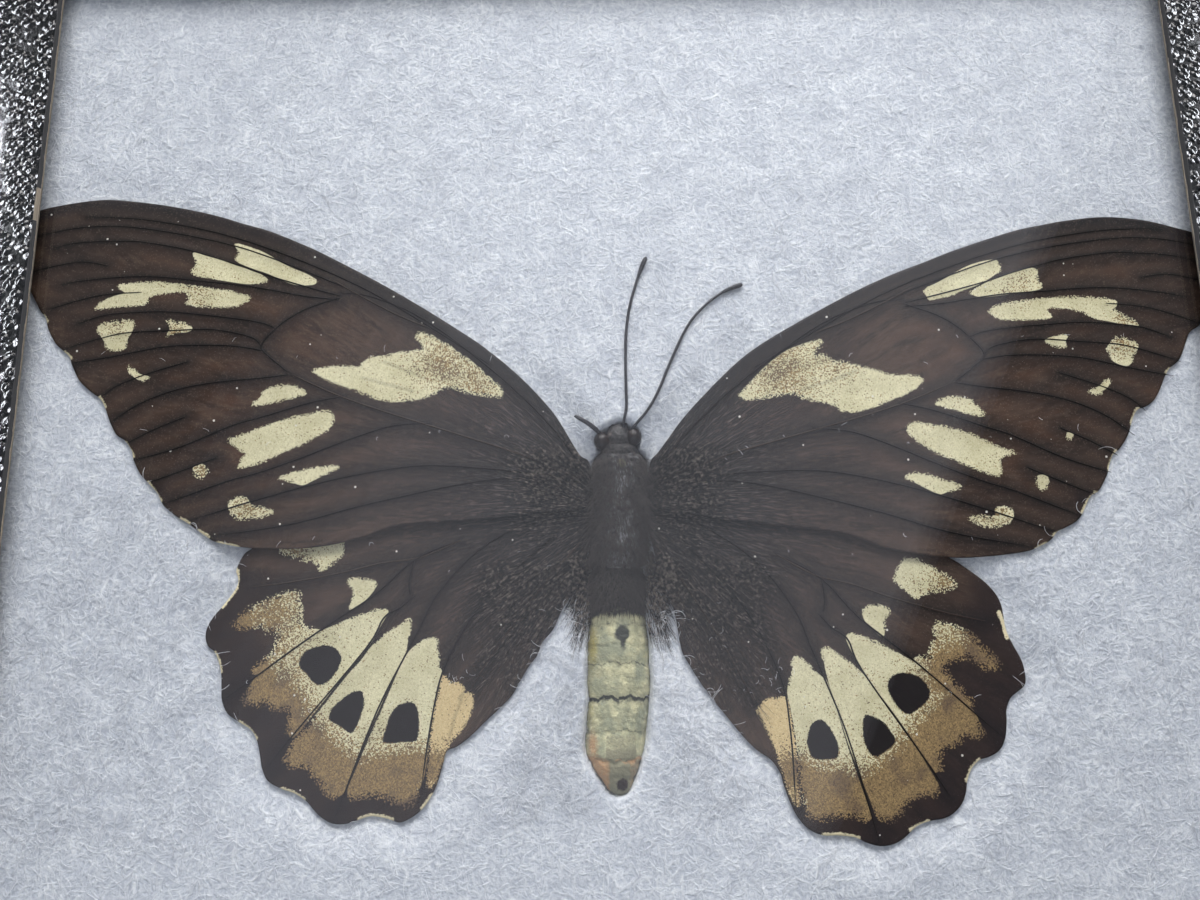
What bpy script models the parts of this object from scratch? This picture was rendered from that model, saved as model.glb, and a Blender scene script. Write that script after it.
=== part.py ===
"""A large spread butterfly on cotton batting, in a shallow square display case with a glass-topped lid.

The case stands flat on its base board. The origin is the middle of that underside, X runs to the
butterfly's right wings as seen from above, Y runs from its tail to its head, and Z is up.
Outlines are written in millimetres as (x, y) and turned to metres where they are used.
"""

import math

import bmesh
import bpy
from mathutils import Vector

MM = 0.001
FIT_GAP = 0.0003

# The case: a board tray, and a lid whose walls slide down over it
CASE_SIDE = 0.2095
CASE_HEIGHT = 0.020
BOARD = 0.0016
WINDOW_SIDE = 0.1845
LID_FOOT = 0.0006
LID_SLIDE_GAP = 0.00035
LID_CORNER_RADIUS = 0.0010
GLASS_THICKNESS = 0.0018
GLASS_SIDE_GAP = 0.00065
BASE_SIDE = CASE_SIDE - 2 * (BOARD + LID_SLIDE_GAP)
LID_TOP_UNDERSIDE = CASE_HEIGHT - BOARD
GLASS_TOP = LID_TOP_UNDERSIDE - FIT_GAP
GLASS_BOTTOM = GLASS_TOP - GLASS_THICKNESS
BASE_RIM = GLASS_BOTTOM - FIT_GAP

# The pins that hold the lid on, one through the middle of each wall
PIN_HEIGHT = 0.009
PIN_LENGTH = 0.009
PIN_RADIUS = 0.00035
PIN_HEAD_RADIUS = 0.0011
PIN_HEAD_THICKNESS = 0.0007
PIN_SIDES = 12
# Each wall's name, the way out through it, and the turn that points a pin's head that way
PIN_WALLS = [("right", (1, 0), (0, math.pi / 2, 0)), ("left", (-1, 0), (0, -math.pi / 2, 0)),
             ("top", (0, 1), (-math.pi / 2, 0, 0)), ("bottom", (0, -1), (math.pi / 2, 0, 0))]

# The batting: a pad with a shallow bed for the wings and a deep one for the body
BATTING_TOP = 0.0151
WING_BED = 0.0141
BODY_BED = 0.0065
WING_BED_REACH = 8.5
WING_BED_EDGE = 12.0
BODY_BED_HALF_WIDTH = 7.6
BODY_BED_EDGE = 13.5
BODY_BED_BACK = -46.0
BODY_BED_FRONT = 16.0
BODY_BED_END_SLOPE = 9.0
BATTING_HALF_COLUMNS = (3.8, 7.6, 10.5, 13.5, 18, 23, 29, 35, 41, 47, 53, 59, 65, 71, 77, 83, 89, 95)
BATTING_ROWS = 30

# The wings
WING_THICKNESS = 0.0003
FOREWING_LEVEL = 0.01565
HINDWING_LEVEL = 0.01475
ROOT_DROP = 0.0024
ROOT_X = 4.4
ROOT_DROP_REACH = 6.0
PLEAT_DEPTH = 0.00008
PLEAT_COUNT = 6
FOREWING_STEPS = (11, 27)
HINDWING_STEPS = (9, 27)

# Outlines of the wings: the front edge from root to tip, the outer margin from tip to the rear
# corner, and the rear edge from that corner back to the root
FOREWING_LEFT = {
    "front": [(-4.2, 6.3), (-7, 9.7), (-10, 14.6), (-15, 20.1), (-20, 24.4), (-30, 31.3), (-40, 37.3),
              (-50, 42.6), (-60, 46.4), (-70, 49.3), (-80, 50.8), (-86, 50.8), (-94.3, 49.1), (-96.3, 47)],
    "margin": [(-96.3, 47), (-96.5, 43), (-95.8, 39), (-92.9, 33.5), (-91, 30.8), (-90.5, 29), (-88.8, 26.2),
               (-86.5, 24.1), (-86.1, 23), (-84.2, 19.8), (-81, 17.3), (-80.2, 16), (-78, 11.5), (-76, 9.8),
               (-74.9, 7.4), (-72.3, 3.8), (-70.1, 0.9), (-65.9, -2.4), (-62.4, -4.8), (-58.2, -6.1),
               (-52.5, -6.5)],
    "rear": [(-52.5, -6.5), (-43, -5.9), (-34, -3.2), (-20, -2.2), (-12, -1.2), (-4.1, 0)],
}
FOREWING_RIGHT = {
    "front": [(5.2, 6.2), (8, 10), (12, 15), (16.5, 19.6), (20, 22.8), (30, 29.1), (38, 33.4), (50, 38.5),
              (58, 41.5), (66, 44), (74, 45.5), (80, 46), (86, 45.4), (94.6, 43), (96.2, 41.6)],
    "margin": [(96.2, 41.6), (96.8, 38), (96.2, 34), (94.2, 30), (93, 27.3), (91.4, 26.2), (89.6, 22.5),
               (87.3, 20.2), (86.4, 18.9), (84, 14.9), (81.4, 13.6), (80, 10.8), (77.9, 7.4), (76.8, 6.6),
               (75.5, 3.4), (72.7, 0.2), (70.8, -2.9), (66.8, -5.3), (63.6, -7.6), (60, -8.5), (50.6, -9)],
    "rear": [(50.6, -9), (42, -7.8), (33.8, -5), (20, -3.2), (12, -1.8), (5.0, 0)],
}
HINDWING_LEFT = {
    "front": [(-4.4, 2), (-20, 2), (-35, 0), (-48, -3), (-56.3, -6.5)],
    "margin": [(-56.3, -6.5), (-58.3, -9.8), (-58, -12.1), (-62.1, -18.3), (-61.7, -21), (-59.5, -24.9),
               (-59.1, -28.8), (-56.3, -32), (-53.6, -34.5), (-52.6, -38.5), (-49.5, -41.4), (-45.9, -43.1),
               (-42, -46.2), (-38.3, -45.8), (-32.1, -46.2)],
    "rear": [(-32.1, -46.2), (-29.1, -44.5), (-26.8, -40.6), (-25.6, -36.4), (-20, -32.3), (-15, -26.7),
             (-11.7, -21), (-7.2, -13.8), (-4.9, -8)],
}
HINDWING_RIGHT = {
    "front": [(5.4, 2), (20, 0.4), (35, -3), (45, -6.4), (50.6, -9)],
    "margin": [(50.6, -9), (55.5, -12.6), (57.9, -17.5), (58.3, -20.5), (60.3, -26.5), (58.9, -28.9),
               (57, -31.5), (55.5, -37.1), (51.2, -39.6), (50, -43), (46.5, -46.5), (42.5, -47.5),
               (39, -49.9), (35, -49.6), (29, -48.6)],
    "rear": [(29, -48.6), (25.5, -46.2), (23.6, -41.5), (23.2, -40), (20, -36.8), (16, -32.3), (12, -27),
             (9.3, -22), (8.3, -16), (5.8, -8)],
}

# The body, as ellipsoids: centre and half sizes in millimetres
HEAD_CENTRE = (0.3, 10.45, 12.6)
HEAD_HALF_SIZE = (2.1, 2.25, 2.2)
EYES = [((-2.15, 9.95, 12.9), 1.3), ((2.55, 10.45, 12.9), 1.3)]

# The thorax and abdomen as rings from front to back: y, left x, right x
THORAX_LEVEL = 11.7
THORAX_RINGS = [(7.8, -1.0, 1.8), (7.3, -2.6, 3.4), (6.2, -3.5, 4.4), (4, -3.95, 4.85), (1, -4.0, 4.9),
                (-2, -4.0, 4.7), (-5, -3.9, 4.4), (-7.3, -3.4, 3.8), (-8.5, -2.4, 2.8), (-8.9, -1.3, 1.7)]
BODY_SIDES = 20
ABDOMEN_LEVEL = 11.5
ABDOMEN_RINGS = [(-9.2, -1.5, 1.5), (-10, -3.0, 2.8), (-12, -4.0, 3.7), (-15.6, -3.9, 3.6), (-18, -4.2, 3.8),
                 (-21, -4.5, 4.2), (-24.2, -4.5, 4.3), (-27, -4.7, 4.5), (-29.3, -4.5, 4.1), (-32, -4.6, 3.8),
                 (-35, -4.8, 3.4), (-38, -3.8, 2.3), (-41, -2.6, 1.6), (-42.5, -1.6, 0.9)]
BODY_FLATTENING = 0.93

ANTENNA_RADIUS = 0.00022
ANTENNA_LEFT = [(1.2, 13.0, 13.6), (1.6, 15, 14.6), (1.6, 18, 15.4), (1.6, 23.2, 15.7), (1.8, 27.6, 15.75),
                (2.5, 32, 15.75), (4, 37, 15.75), (5.2, 39.9, 15.75)]
ANTENNA_RIGHT = [(3.3, 12.6, 13.6), (5.0, 14.5, 14.6), (6.7, 17.6, 15.4), (8.8, 22.5, 15.7),
                 (11.6, 28.2, 15.75), (14.5, 31.6, 15.75), (17.6, 33.9, 15.75), (20.6, 35.1, 15.75)]
FORELEG_RADIUS = 0.00025
FORELEG_LEFT = [(-3.4, 11.9, 13.2), (-4.6, 12.6, 14.0), (-5.8, 13.3, 14.7), (-6.5, 13.7, 15.3)]

COLOURS = {
    "black leatherette": ((0.011, 0.012, 0.016), 0.35, 0.0),
    "white card": ((0.60, 0.58, 0.54), 0.9, 0.0),
    "glass": ((0.92, 0.94, 0.95), 0.02, 0.0),
    "cotton batting": ((0.62, 0.66, 0.74), 0.95, 0.0),
    "brown wing": ((0.030, 0.020, 0.017), 0.7, 0.0),
    "dark body": ((0.018, 0.017, 0.019), 0.8, 0.0),
    "pale abdomen": ((0.47, 0.46, 0.30), 0.75, 0.0),
    "steel": ((0.62, 0.62, 0.60), 0.3, 1.0),
}


def collection(name):
    made = bpy.data.collections.new(name)
    bpy.context.scene.collection.children.link(made)
    return made


def finish(obj, group, colour):
    """Puts an object in its collection, with a material of its own."""
    for holder in list(obj.users_collection):
        holder.objects.unlink(obj)
    group.objects.link(obj)
    rgb, roughness, metallic = COLOURS[colour]
    material = bpy.data.materials.new(f"{obj.name} {colour}")
    material.use_nodes = True
    shader = material.node_tree.nodes["Principled BSDF"]
    shader.inputs["Base Color"].default_value = (*rgb, 1)
    shader.inputs["Roughness"].default_value = roughness
    shader.inputs["Metallic"].default_value = metallic
    obj.data.materials.clear()
    obj.data.materials.append(material)
    return obj


def mesh_object(name, mesh_builder):
    """An object from a bmesh, with its faces turned outwards."""
    mesh = bpy.data.meshes.new(name)
    bmesh.ops.recalc_face_normals(mesh_builder, faces=mesh_builder.faces)
    mesh_builder.to_mesh(mesh)
    mesh_builder.free()
    obj = bpy.data.objects.new(name, mesh)
    bpy.context.scene.collection.objects.link(obj)
    return obj


def block(name, side, low, high):
    """A square block on the Z axis, from one height to another."""
    bpy.ops.mesh.primitive_cube_add(size=1, location=(0, 0, (low + high) / 2))
    obj = bpy.context.object
    obj.name = name
    obj.scale = (side, side, high - low)
    bpy.ops.object.transform_apply(location=False, rotation=False, scale=True)
    return obj


def cut(obj, cutter):
    boolean = obj.modifiers.new(f"cut {cutter.name}", "BOOLEAN")
    boolean.operation = "DIFFERENCE"
    boolean.solver = "EXACT"
    boolean.object = cutter


def as_cutter(obj):
    for holder in list(obj.users_collection):
        holder.objects.unlink(obj)
    cutters.objects.link(obj)
    obj.hide_render = True
    obj.display_type = "WIRE"
    return obj


def round_edges(obj, radius, segments):
    bevel = obj.modifiers.new("rounded edges", "BEVEL")
    bevel.width = radius
    bevel.segments = segments
    bevel.limit_method = "ANGLE"


def pin_hole_cutters():
    """A short rod in each wall, a little wider and longer than the pin that goes there."""
    rods = []
    for wall, (x, y), turn in PIN_WALLS:
        bpy.ops.mesh.primitive_cylinder_add(
            vertices=PIN_SIDES, radius=PIN_RADIUS + FIT_GAP, depth=2 * (PIN_LENGTH + BOARD),
            location=(x * CASE_SIDE / 2, y * CASE_SIDE / 2, PIN_HEIGHT), rotation=turn)
        rod = bpy.context.object
        rod.name = f"pin_hole_{wall}"
        rods.append(as_cutter(rod))
    return rods


def make_case_base(rods):
    """The board tray that holds the batting."""
    base = block("case_base", BASE_SIDE, 0, BASE_RIM)
    inside = as_cutter(block("tray_inside", BASE_SIDE - 2 * BOARD, BOARD, BASE_RIM + BOARD))
    cut(base, inside)
    for rod in rods:
        cut(base, rod)
    return finish(base, parts, "white card")


def make_case_lid(rods):
    """The lid: four walls and a top board with a square window."""
    lid = block("case_lid", CASE_SIDE, LID_FOOT, CASE_HEIGHT)
    round_edges(lid, LID_CORNER_RADIUS, 2)
    inside = as_cutter(block("lid_inside", CASE_SIDE - 2 * BOARD, LID_FOOT - BOARD, LID_TOP_UNDERSIDE))
    window = as_cutter(block("lid_window", WINDOW_SIDE, LID_TOP_UNDERSIDE - BOARD, CASE_HEIGHT + BOARD))
    cut(lid, inside)
    cut(lid, window)
    for rod in rods:
        cut(lid, rod)
    return finish(lid, parts, "black leatherette")


def make_glass():
    """The pane, held between the tray's rim and the lid's top board."""
    side = CASE_SIDE - 2 * (BOARD + GLASS_SIDE_GAP)
    return finish(block("glass_pane", side, GLASS_BOTTOM, GLASS_TOP), parts, "glass")


def make_pins():
    """A headed pin through each wall, as a turned profile from the head's crown to the point."""
    crown = PIN_HEAD_THICKNESS
    profile = [(0, crown), (PIN_HEAD_RADIUS * 0.7, crown * 0.85), (PIN_HEAD_RADIUS, crown * 0.4),
               (PIN_HEAD_RADIUS, 0), (PIN_RADIUS, 0), (PIN_RADIUS, -PIN_LENGTH * 0.85), (0, -PIN_LENGTH)]
    head_face = CASE_SIDE / 2 + FIT_GAP
    for wall, (x, y), turn in PIN_WALLS:
        mesh = bpy.data.meshes.new(f"lid_pin_{wall}")
        edges = [(i, i + 1) for i in range(len(profile) - 1)]
        mesh.from_pydata([(radius, 0, height) for radius, height in profile], edges, [])
        pin = bpy.data.objects.new(f"lid_pin_{wall}", mesh)
        pin.location = (x * head_face, y * head_face, PIN_HEIGHT)
        pin.rotation_euler = turn
        screw = pin.modifiers.new("turned", "SCREW")
        screw.steps = PIN_SIDES
        screw.render_steps = PIN_SIDES
        screw.use_merge_vertices = True
        screw.merge_threshold = 0.00001
        bpy.context.scene.collection.objects.link(pin)
        finish(pin, parts, "steel")


def distance_to_line(point, line):
    """The shortest distance from a point to a run of straight pieces."""
    best = math.inf
    for (ax, ay), (bx, by) in zip(line, line[1:]):
        run_x, run_y = bx - ax, by - ay
        length_squared = run_x * run_x + run_y * run_y
        share = 0.0
        if length_squared > 0:
            share = ((point[0] - ax) * run_x + (point[1] - ay) * run_y) / length_squared
        share = min(max(share, 0.0), 1.0)
        best = min(best, math.hypot(point[0] - ax - share * run_x, point[1] - ay - share * run_y))
    return best


def is_inside(point, ring):
    """True where a point lies in a closed outline."""
    inside = False
    for (ax, ay), (bx, by) in zip(ring, ring[1:] + ring[:1]):
        if (ay > point[1]) != (by > point[1]):
            crossing = ax + (point[1] - ay) * (bx - ax) / (by - ay)
            if point[0] < crossing:
                inside = not inside
    return inside


def outline(wing):
    """A wing's whole outline, each corner once."""
    return wing["front"][:-1] + wing["margin"][:-1] + wing["rear"]


def ease(value, start, end):
    """1 up to start, 0 past end, and a smooth fall between."""
    share = min(max((value - start) / (end - start), 0.0), 1.0)
    return 1 - share * share * (3 - 2 * share)


def root_drop(x):
    """How far a wing, and the pad under it, is drawn down towards the body at a distance in millimetres."""
    return ROOT_DROP * math.exp(-max(abs(x) - ROOT_X, 0.0) / ROOT_DROP_REACH)


def batting_height(x, y, wings):
    """The top of the pad above the base board at a place in millimetres."""
    wing_distance = min(0.0 if is_inside((x, y), ring) else distance_to_line((x, y), ring + ring[:1])
                        for ring in wings)
    wing_bed = ease(wing_distance, WING_BED_REACH, WING_BED_EDGE)
    height = BATTING_TOP - (BATTING_TOP - WING_BED + root_drop(x)) * wing_bed
    beyond_ends = max(BODY_BED_BACK - y, y - BODY_BED_FRONT, 0.0)
    body_bed = ease(abs(x), BODY_BED_HALF_WIDTH, BODY_BED_EDGE) * ease(beyond_ends, 0.0, BODY_BED_END_SLOPE)
    return height - (height - BODY_BED) * body_bed


def make_batting(rods):
    """The cotton pad: a grid whose points take the pad's height, with its sides drawn down to the board."""
    half = BASE_SIDE / 2 - BOARD - FIT_GAP
    wings = [outline(wing) for wing in (FOREWING_LEFT, FOREWING_RIGHT, HINDWING_LEFT, HINDWING_RIGHT)]
    right_columns = [*(x * MM for x in BATTING_HALF_COLUMNS), half]
    columns = [*(-x for x in reversed(right_columns)), 0.0, *right_columns]
    column_steps = len(columns) - 1
    builder = bmesh.new()
    bmesh.ops.create_grid(builder, x_segments=column_steps, y_segments=BATTING_ROWS, size=half)
    for vertex in builder.verts:
        column = round((vertex.co.x + half) / (2 * half) * column_steps)
        vertex.co.x = columns[column]
        vertex.co.z = batting_height(vertex.co.x / MM, vertex.co.y / MM, wings)
    rim = [edge for edge in builder.edges if edge.is_boundary]
    drawn = bmesh.ops.extrude_edge_only(builder, edges=rim)["geom"]
    for vertex in (item for item in drawn if isinstance(item, bmesh.types.BMVert)):
        vertex.co.z = BOARD + FIT_GAP
    foot = [edge for edge in builder.edges if edge.is_boundary]
    bmesh.ops.contextual_create(builder, geom=foot)
    batting = mesh_object("batting", builder)
    for rod in rods:
        cut(batting, rod)
    return finish(batting, parts, "cotton batting")


def along(line, steps):
    """Points spread evenly along a run of straight pieces, its two ends among them."""
    lengths = [math.dist(a, b) for a, b in zip(line, line[1:])]
    total = sum(lengths)
    spread = []
    for index in range(steps + 1):
        target = total * index / steps
        piece = 0
        while piece < len(lengths) - 1 and target > lengths[piece]:
            target -= lengths[piece]
            piece += 1
        share = min(target / lengths[piece], 1.0)
        spread.append(Vector(line[piece]).lerp(Vector(line[piece + 1]), share))
    return spread


def make_wing(name, wing, level, steps):
    """A thin pleated sheet stretched between a wing's four edges, with its root drawn down to the body."""
    out_steps, across_steps = steps
    front = along(wing["front"], out_steps)
    rear = along(wing["rear"][::-1], out_steps)
    margin = along(wing["margin"][::-1], across_steps)
    root = along([wing["rear"][-1], wing["front"][0]], across_steps)
    builder = bmesh.new()
    bmesh.ops.create_grid(builder, x_segments=out_steps, y_segments=across_steps, size=0.5)
    for vertex in builder.verts:
        out = vertex.co.x + 0.5
        across = vertex.co.y + 0.5
        i = round(out * out_steps)
        j = round(across * across_steps)
        between_edges = rear[i] * (1 - across) + front[i] * across
        between_ends = root[j] * (1 - out) + margin[j] * out
        corners = ((rear[0] * (1 - across) + front[0] * across) * (1 - out)
                   + (rear[-1] * (1 - across) + front[-1] * across) * out)
        place = (between_edges + between_ends - corners) * MM
        pleat = PLEAT_DEPTH * math.cos(2 * math.pi * PLEAT_COUNT * across)
        vertex.co = (place.x, place.y, level - root_drop(place.x / MM) + pleat)
    sheet = mesh_object(name, builder)
    solidify = sheet.modifiers.new("wing thickness", "SOLIDIFY")
    solidify.thickness = WING_THICKNESS
    solidify.offset = 0
    for polygon in sheet.data.polygons:
        polygon.use_smooth = True
    return finish(sheet, parts, "brown wing")


def ellipsoid(name, centre, half_size, segments, rings):
    """A rounded body part, centre and half sizes in millimetres."""
    bpy.ops.mesh.primitive_uv_sphere_add(segments=segments, ring_count=rings, radius=1,
                                         location=Vector(centre) * MM)
    obj = bpy.context.object
    obj.name = name
    obj.scale = Vector(half_size) * MM
    bpy.ops.object.transform_apply(location=False, rotation=False, scale=True)
    obj.data.shade_smooth()
    return obj


def make_head():
    """The head with its two large eyes, which are joined to it."""
    head = ellipsoid("head", HEAD_CENTRE, HEAD_HALF_SIZE, 16, 10)
    for side, (centre, radius) in zip(("left", "right"), EYES):
        eye = as_cutter(ellipsoid(f"eye_{side}", centre, (radius, radius * 1.1, radius), 12, 8))
        boolean = head.modifiers.new(f"eye {side}", "BOOLEAN")
        boolean.operation = "UNION"
        boolean.solver = "EXACT"
        boolean.object = eye
    return finish(head, parts, "dark body")


def make_body_part(name, rings, level, colour):
    """A rounded body part: rings from front to back, joined by side walls and closed at both ends."""
    builder = bmesh.new()
    loops = []
    for y, left, right in rings:
        centre = (left + right) / 2
        half = (right - left) / 2
        ring = []
        for index in range(BODY_SIDES):
            turn = 2 * math.pi * index / BODY_SIDES
            z = level + half * BODY_FLATTENING * math.sin(turn)
            ring.append(builder.verts.new(Vector((centre + half * math.cos(turn), y, z)) * MM))
        loops.append([builder.edges.new((ring[i - 1], ring[i])) for i in range(BODY_SIDES)])
    for first, second in zip(loops, loops[1:]):
        bmesh.ops.bridge_loops(builder, edges=first + second)
    for loop in (loops[0], loops[-1]):
        bmesh.ops.contextual_create(builder, geom=loop)
    obj = mesh_object(name, builder)
    obj.data.shade_smooth()
    return finish(obj, parts, colour)


def make_strand(name, route, radius, colour):
    """A thin round limb along a route in millimetres, with closed ends."""
    curve = bpy.data.curves.new(name, "CURVE")
    curve.dimensions = "3D"
    curve.bevel_depth = radius
    curve.bevel_resolution = 2
    curve.use_fill_caps = True
    spline = curve.splines.new("POLY")
    spline.points.add(len(route) - 1)
    for point, place in zip(spline.points, route):
        point.co = (*(Vector(place) * MM), 1)
    obj = bpy.data.objects.new(name, curve)
    bpy.context.scene.collection.objects.link(obj)
    return finish(obj, parts, colour)


for old in list(bpy.data.objects):
    bpy.data.objects.remove(old)

parts = collection("framed butterfly specimen")
cutters = collection("cutters")

pin_rods = pin_hole_cutters()
make_case_base(pin_rods)
make_case_lid(pin_rods)
make_glass()
make_pins()
make_batting(pin_rods)
make_wing("forewing_left", FOREWING_LEFT, FOREWING_LEVEL, FOREWING_STEPS)
make_wing("forewing_right", FOREWING_RIGHT, FOREWING_LEVEL, FOREWING_STEPS)
make_wing("hindwing_left", HINDWING_LEFT, HINDWING_LEVEL, HINDWING_STEPS)
make_wing("hindwing_right", HINDWING_RIGHT, HINDWING_LEVEL, HINDWING_STEPS)
make_head()
make_body_part("thorax", THORAX_RINGS, THORAX_LEVEL, "dark body")
make_body_part("abdomen", ABDOMEN_RINGS, ABDOMEN_LEVEL, "pale abdomen")
make_strand("antenna_left", ANTENNA_LEFT, ANTENNA_RADIUS, "dark body")
make_strand("antenna_right", ANTENNA_RIGHT, ANTENNA_RADIUS, "dark body")
make_strand("foreleg_left", FORELEG_LEFT, FORELEG_RADIUS, "dark body")
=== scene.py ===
# %% [markdown]
# # A large butterfly in a cotton-backed display case
#
# The case is a black leatherette lid with a glass window, slid over a card tray full of cotton batting. The
# butterfly lies spread on the batting, its wings just under the glass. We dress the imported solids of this
# case: some keep their shape and get a better material, and the soft or finely marked ones are replaced by
# richer pieces in the same place.

# %% Load the frame
import math

import bpy
import numpy as np
from mathutils import Matrix, Vector


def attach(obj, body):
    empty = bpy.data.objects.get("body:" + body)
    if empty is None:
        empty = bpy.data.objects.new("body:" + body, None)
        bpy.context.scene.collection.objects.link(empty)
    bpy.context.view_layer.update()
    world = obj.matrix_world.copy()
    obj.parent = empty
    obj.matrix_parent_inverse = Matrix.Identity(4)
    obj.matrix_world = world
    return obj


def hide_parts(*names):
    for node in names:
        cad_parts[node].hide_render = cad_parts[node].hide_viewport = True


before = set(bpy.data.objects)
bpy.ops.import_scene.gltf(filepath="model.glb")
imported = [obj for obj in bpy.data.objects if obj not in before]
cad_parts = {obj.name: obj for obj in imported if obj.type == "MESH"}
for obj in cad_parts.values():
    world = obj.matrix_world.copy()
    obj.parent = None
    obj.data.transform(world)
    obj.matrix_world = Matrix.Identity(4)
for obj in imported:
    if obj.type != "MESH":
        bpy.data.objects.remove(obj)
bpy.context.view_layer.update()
MM = 0.001
bpy.ops.object.select_all(action="DESELECT")
print("nodes in the frame:", sorted(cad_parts))

# %% [markdown]
# ## Camera, floor and light
#
# The photograph looks almost straight down on the case from about 15 cm above it with a wide lens. A camera can
# be aimed by eye, but a match needs numbers: these come from the known corners of the case and of its window.

# %% Camera
CAMERA_PLACE = (-0.002607, -0.018678, 0.153486)
CAMERA_TILT = math.radians(11.095)
CAMERA_ROLL = math.radians(-0.649)
bpy.ops.object.camera_add()
camera = bpy.context.object
camera.matrix_world = (Matrix.Translation(CAMERA_PLACE) @ Matrix.Rotation(CAMERA_TILT, 4, "X")
                       @ Matrix.Rotation(CAMERA_ROLL, 4, "Z"))
camera.data.lens = 27
camera.data.sensor_width = 36
camera.data.clip_start = 0.01
bpy.context.scene.camera = camera
bpy.context.scene.view_settings.view_transform = "Standard"
print("camera at", tuple(round(v, 4) for v in camera.matrix_world.translation))


# %% [markdown]
# Every material needs colours and nodes. Colours are picked as sRGB hex values, as a colour picker shows them,
# and Blender's nodes want linear light, so one function turns the one into the other. The others each add a
# node in one line, with what it takes in, which keeps a node tree readable as text.

# %% Helpers for materials
def linear(hex_colour):
    """An sRGB hex colour as the linear red, green, blue and alpha that a socket takes."""
    values = [int(hex_colour[i:i + 2], 16) / 255 for i in (1, 3, 5)]
    return (*(v / 12.92 if v <= 0.04045 else ((v + 0.055) / 1.055) ** 2.4 for v in values), 1.0)


def plug(node, inputs):
    """Fills a node's inputs, each with a plain value or with another node's output to link from."""
    for key, value in inputs.items():
        if isinstance(value, bpy.types.NodeSocket):
            node.id_data.links.new(value, node.inputs[key])
        else:
            node.inputs[key].default_value = value


def add(tree, kind, inputs=None, **settings):
    """Adds a shader node with its settings and its inputs."""
    node = tree.nodes.new(f"ShaderNode{kind}")
    for name, value in settings.items():
        setattr(node, name, value)
    plug(node, inputs or {})
    return node


def mix(tree, factor, first, second, blend_type="MIX"):
    """A colour between two, each a hex value or another node's output."""
    first, second = (linear(colour) if isinstance(colour, str) else colour for colour in (first, second))
    return add(tree, "Mix", {"Factor": factor, "A": first, "B": second}, data_type="RGBA",
               blend_type=blend_type).outputs["Result"]


def noise(tree, place, scale, detail, roughness=0.5):
    """Cloudy noise from 0 to 1, of so many cells a metre."""
    return add(tree, "TexNoise", {"Vector": place, "Scale": scale, "Detail": detail,
                                  "Roughness": roughness}).outputs["Fac"]


def stretch(tree, value, before, after=(0, 1)):
    """Moves a value from one range to another and clamps it there."""
    return add(tree, "MapRange", {"Value": value, "From Min": before[0], "From Max": before[1], "To Min": after[0],
                                  "To Max": after[1]}).outputs["Result"]


def new_material(name):
    """An empty material: its node tree and its Principled shader."""
    material = bpy.data.materials.new(name)
    material.use_nodes = True
    return material, material.node_tree, material.node_tree.nodes["Principled BSDF"]


def dress(obj, *materials):
    """Gives an object these materials and nothing else."""
    obj.data.materials.clear()
    for material in materials:
        obj.data.materials.append(material)


# %% [markdown]
# The light is plain and soft. A broad lamp stands beyond the butterfly's head, low enough that its mirror image
# never reaches the camera, and a dim sky fills the shadows. A row of panels hangs overhead: glass mirrors a few
# percent of whatever is above it, and that pale veil over the wings is how the eye tells the glass is there.

# %% Floor and light
bpy.ops.mesh.primitive_plane_add(size=4)
floor = bpy.context.object
floor.name = "pale_floor"
floor_paint, tree, shader = new_material("matt pale floor paint")
speckle = add(tree, "TexNoise", {"Scale": 40.0, "Detail": 4.0})
tint = mix(tree, speckle.outputs["Fac"], "#d3d2cf", "#dbdad7")
plug(shader, {"Base Color": tint, "Roughness": 0.85})
dress(floor, floor_paint)

world = bpy.data.worlds.new("dim even sky")
bpy.context.scene.world = world
world.use_nodes = True
plug(world.node_tree.nodes["Background"], {"Color": linear("#c8d2e6"), "Strength": 0.07})


def panel_light(name, place, aim, size, watts, colour):
    """A rectangular lamp that hangs at a place and points at another, invisible to the camera itself."""
    bpy.ops.object.light_add(type="AREA", location=place)
    lamp = bpy.context.object
    lamp.name = name
    lamp.rotation_euler = (Vector(aim) - Vector(place)).to_track_quat("-Z", "Y").to_euler()
    lamp.data.shape = "RECTANGLE"
    lamp.data.size, lamp.data.size_y = size
    lamp.data.energy = watts
    lamp.data.color = linear(colour)[:3]
    lamp.visible_camera = False
    return lamp


key = panel_light("key_lamp", (0.02, 0.50, 0.30), (0, 0.03, 0.015), (0.50, 0.20), 0.58, "#fbf9fa")
key.data.spread = math.radians(70)
panel_light("low_fill_lamp", (-0.1, -0.6, 0.4), (0, 0, 0), (0.6, 0.3), 0.5, "#e8eeff")
VEIL_HEIGHT = 0.4
GLASS_MIRROR = 0.018
mirrored_camera = Vector((CAMERA_PLACE[0], CAMERA_PLACE[1], 2 * GLASS_MIRROR - CAMERA_PLACE[2]))


def seen_in_glass(x_mm, y_mm):
    """Where overhead, at the veil's height, the camera looks by way of a place on the glass."""
    place = Vector((x_mm * MM, y_mm * MM, GLASS_MIRROR))
    ray = place - mirrored_camera
    return mirrored_camera + ray * (VEIL_HEIGHT - mirrored_camera.z) / ray.z


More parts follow.
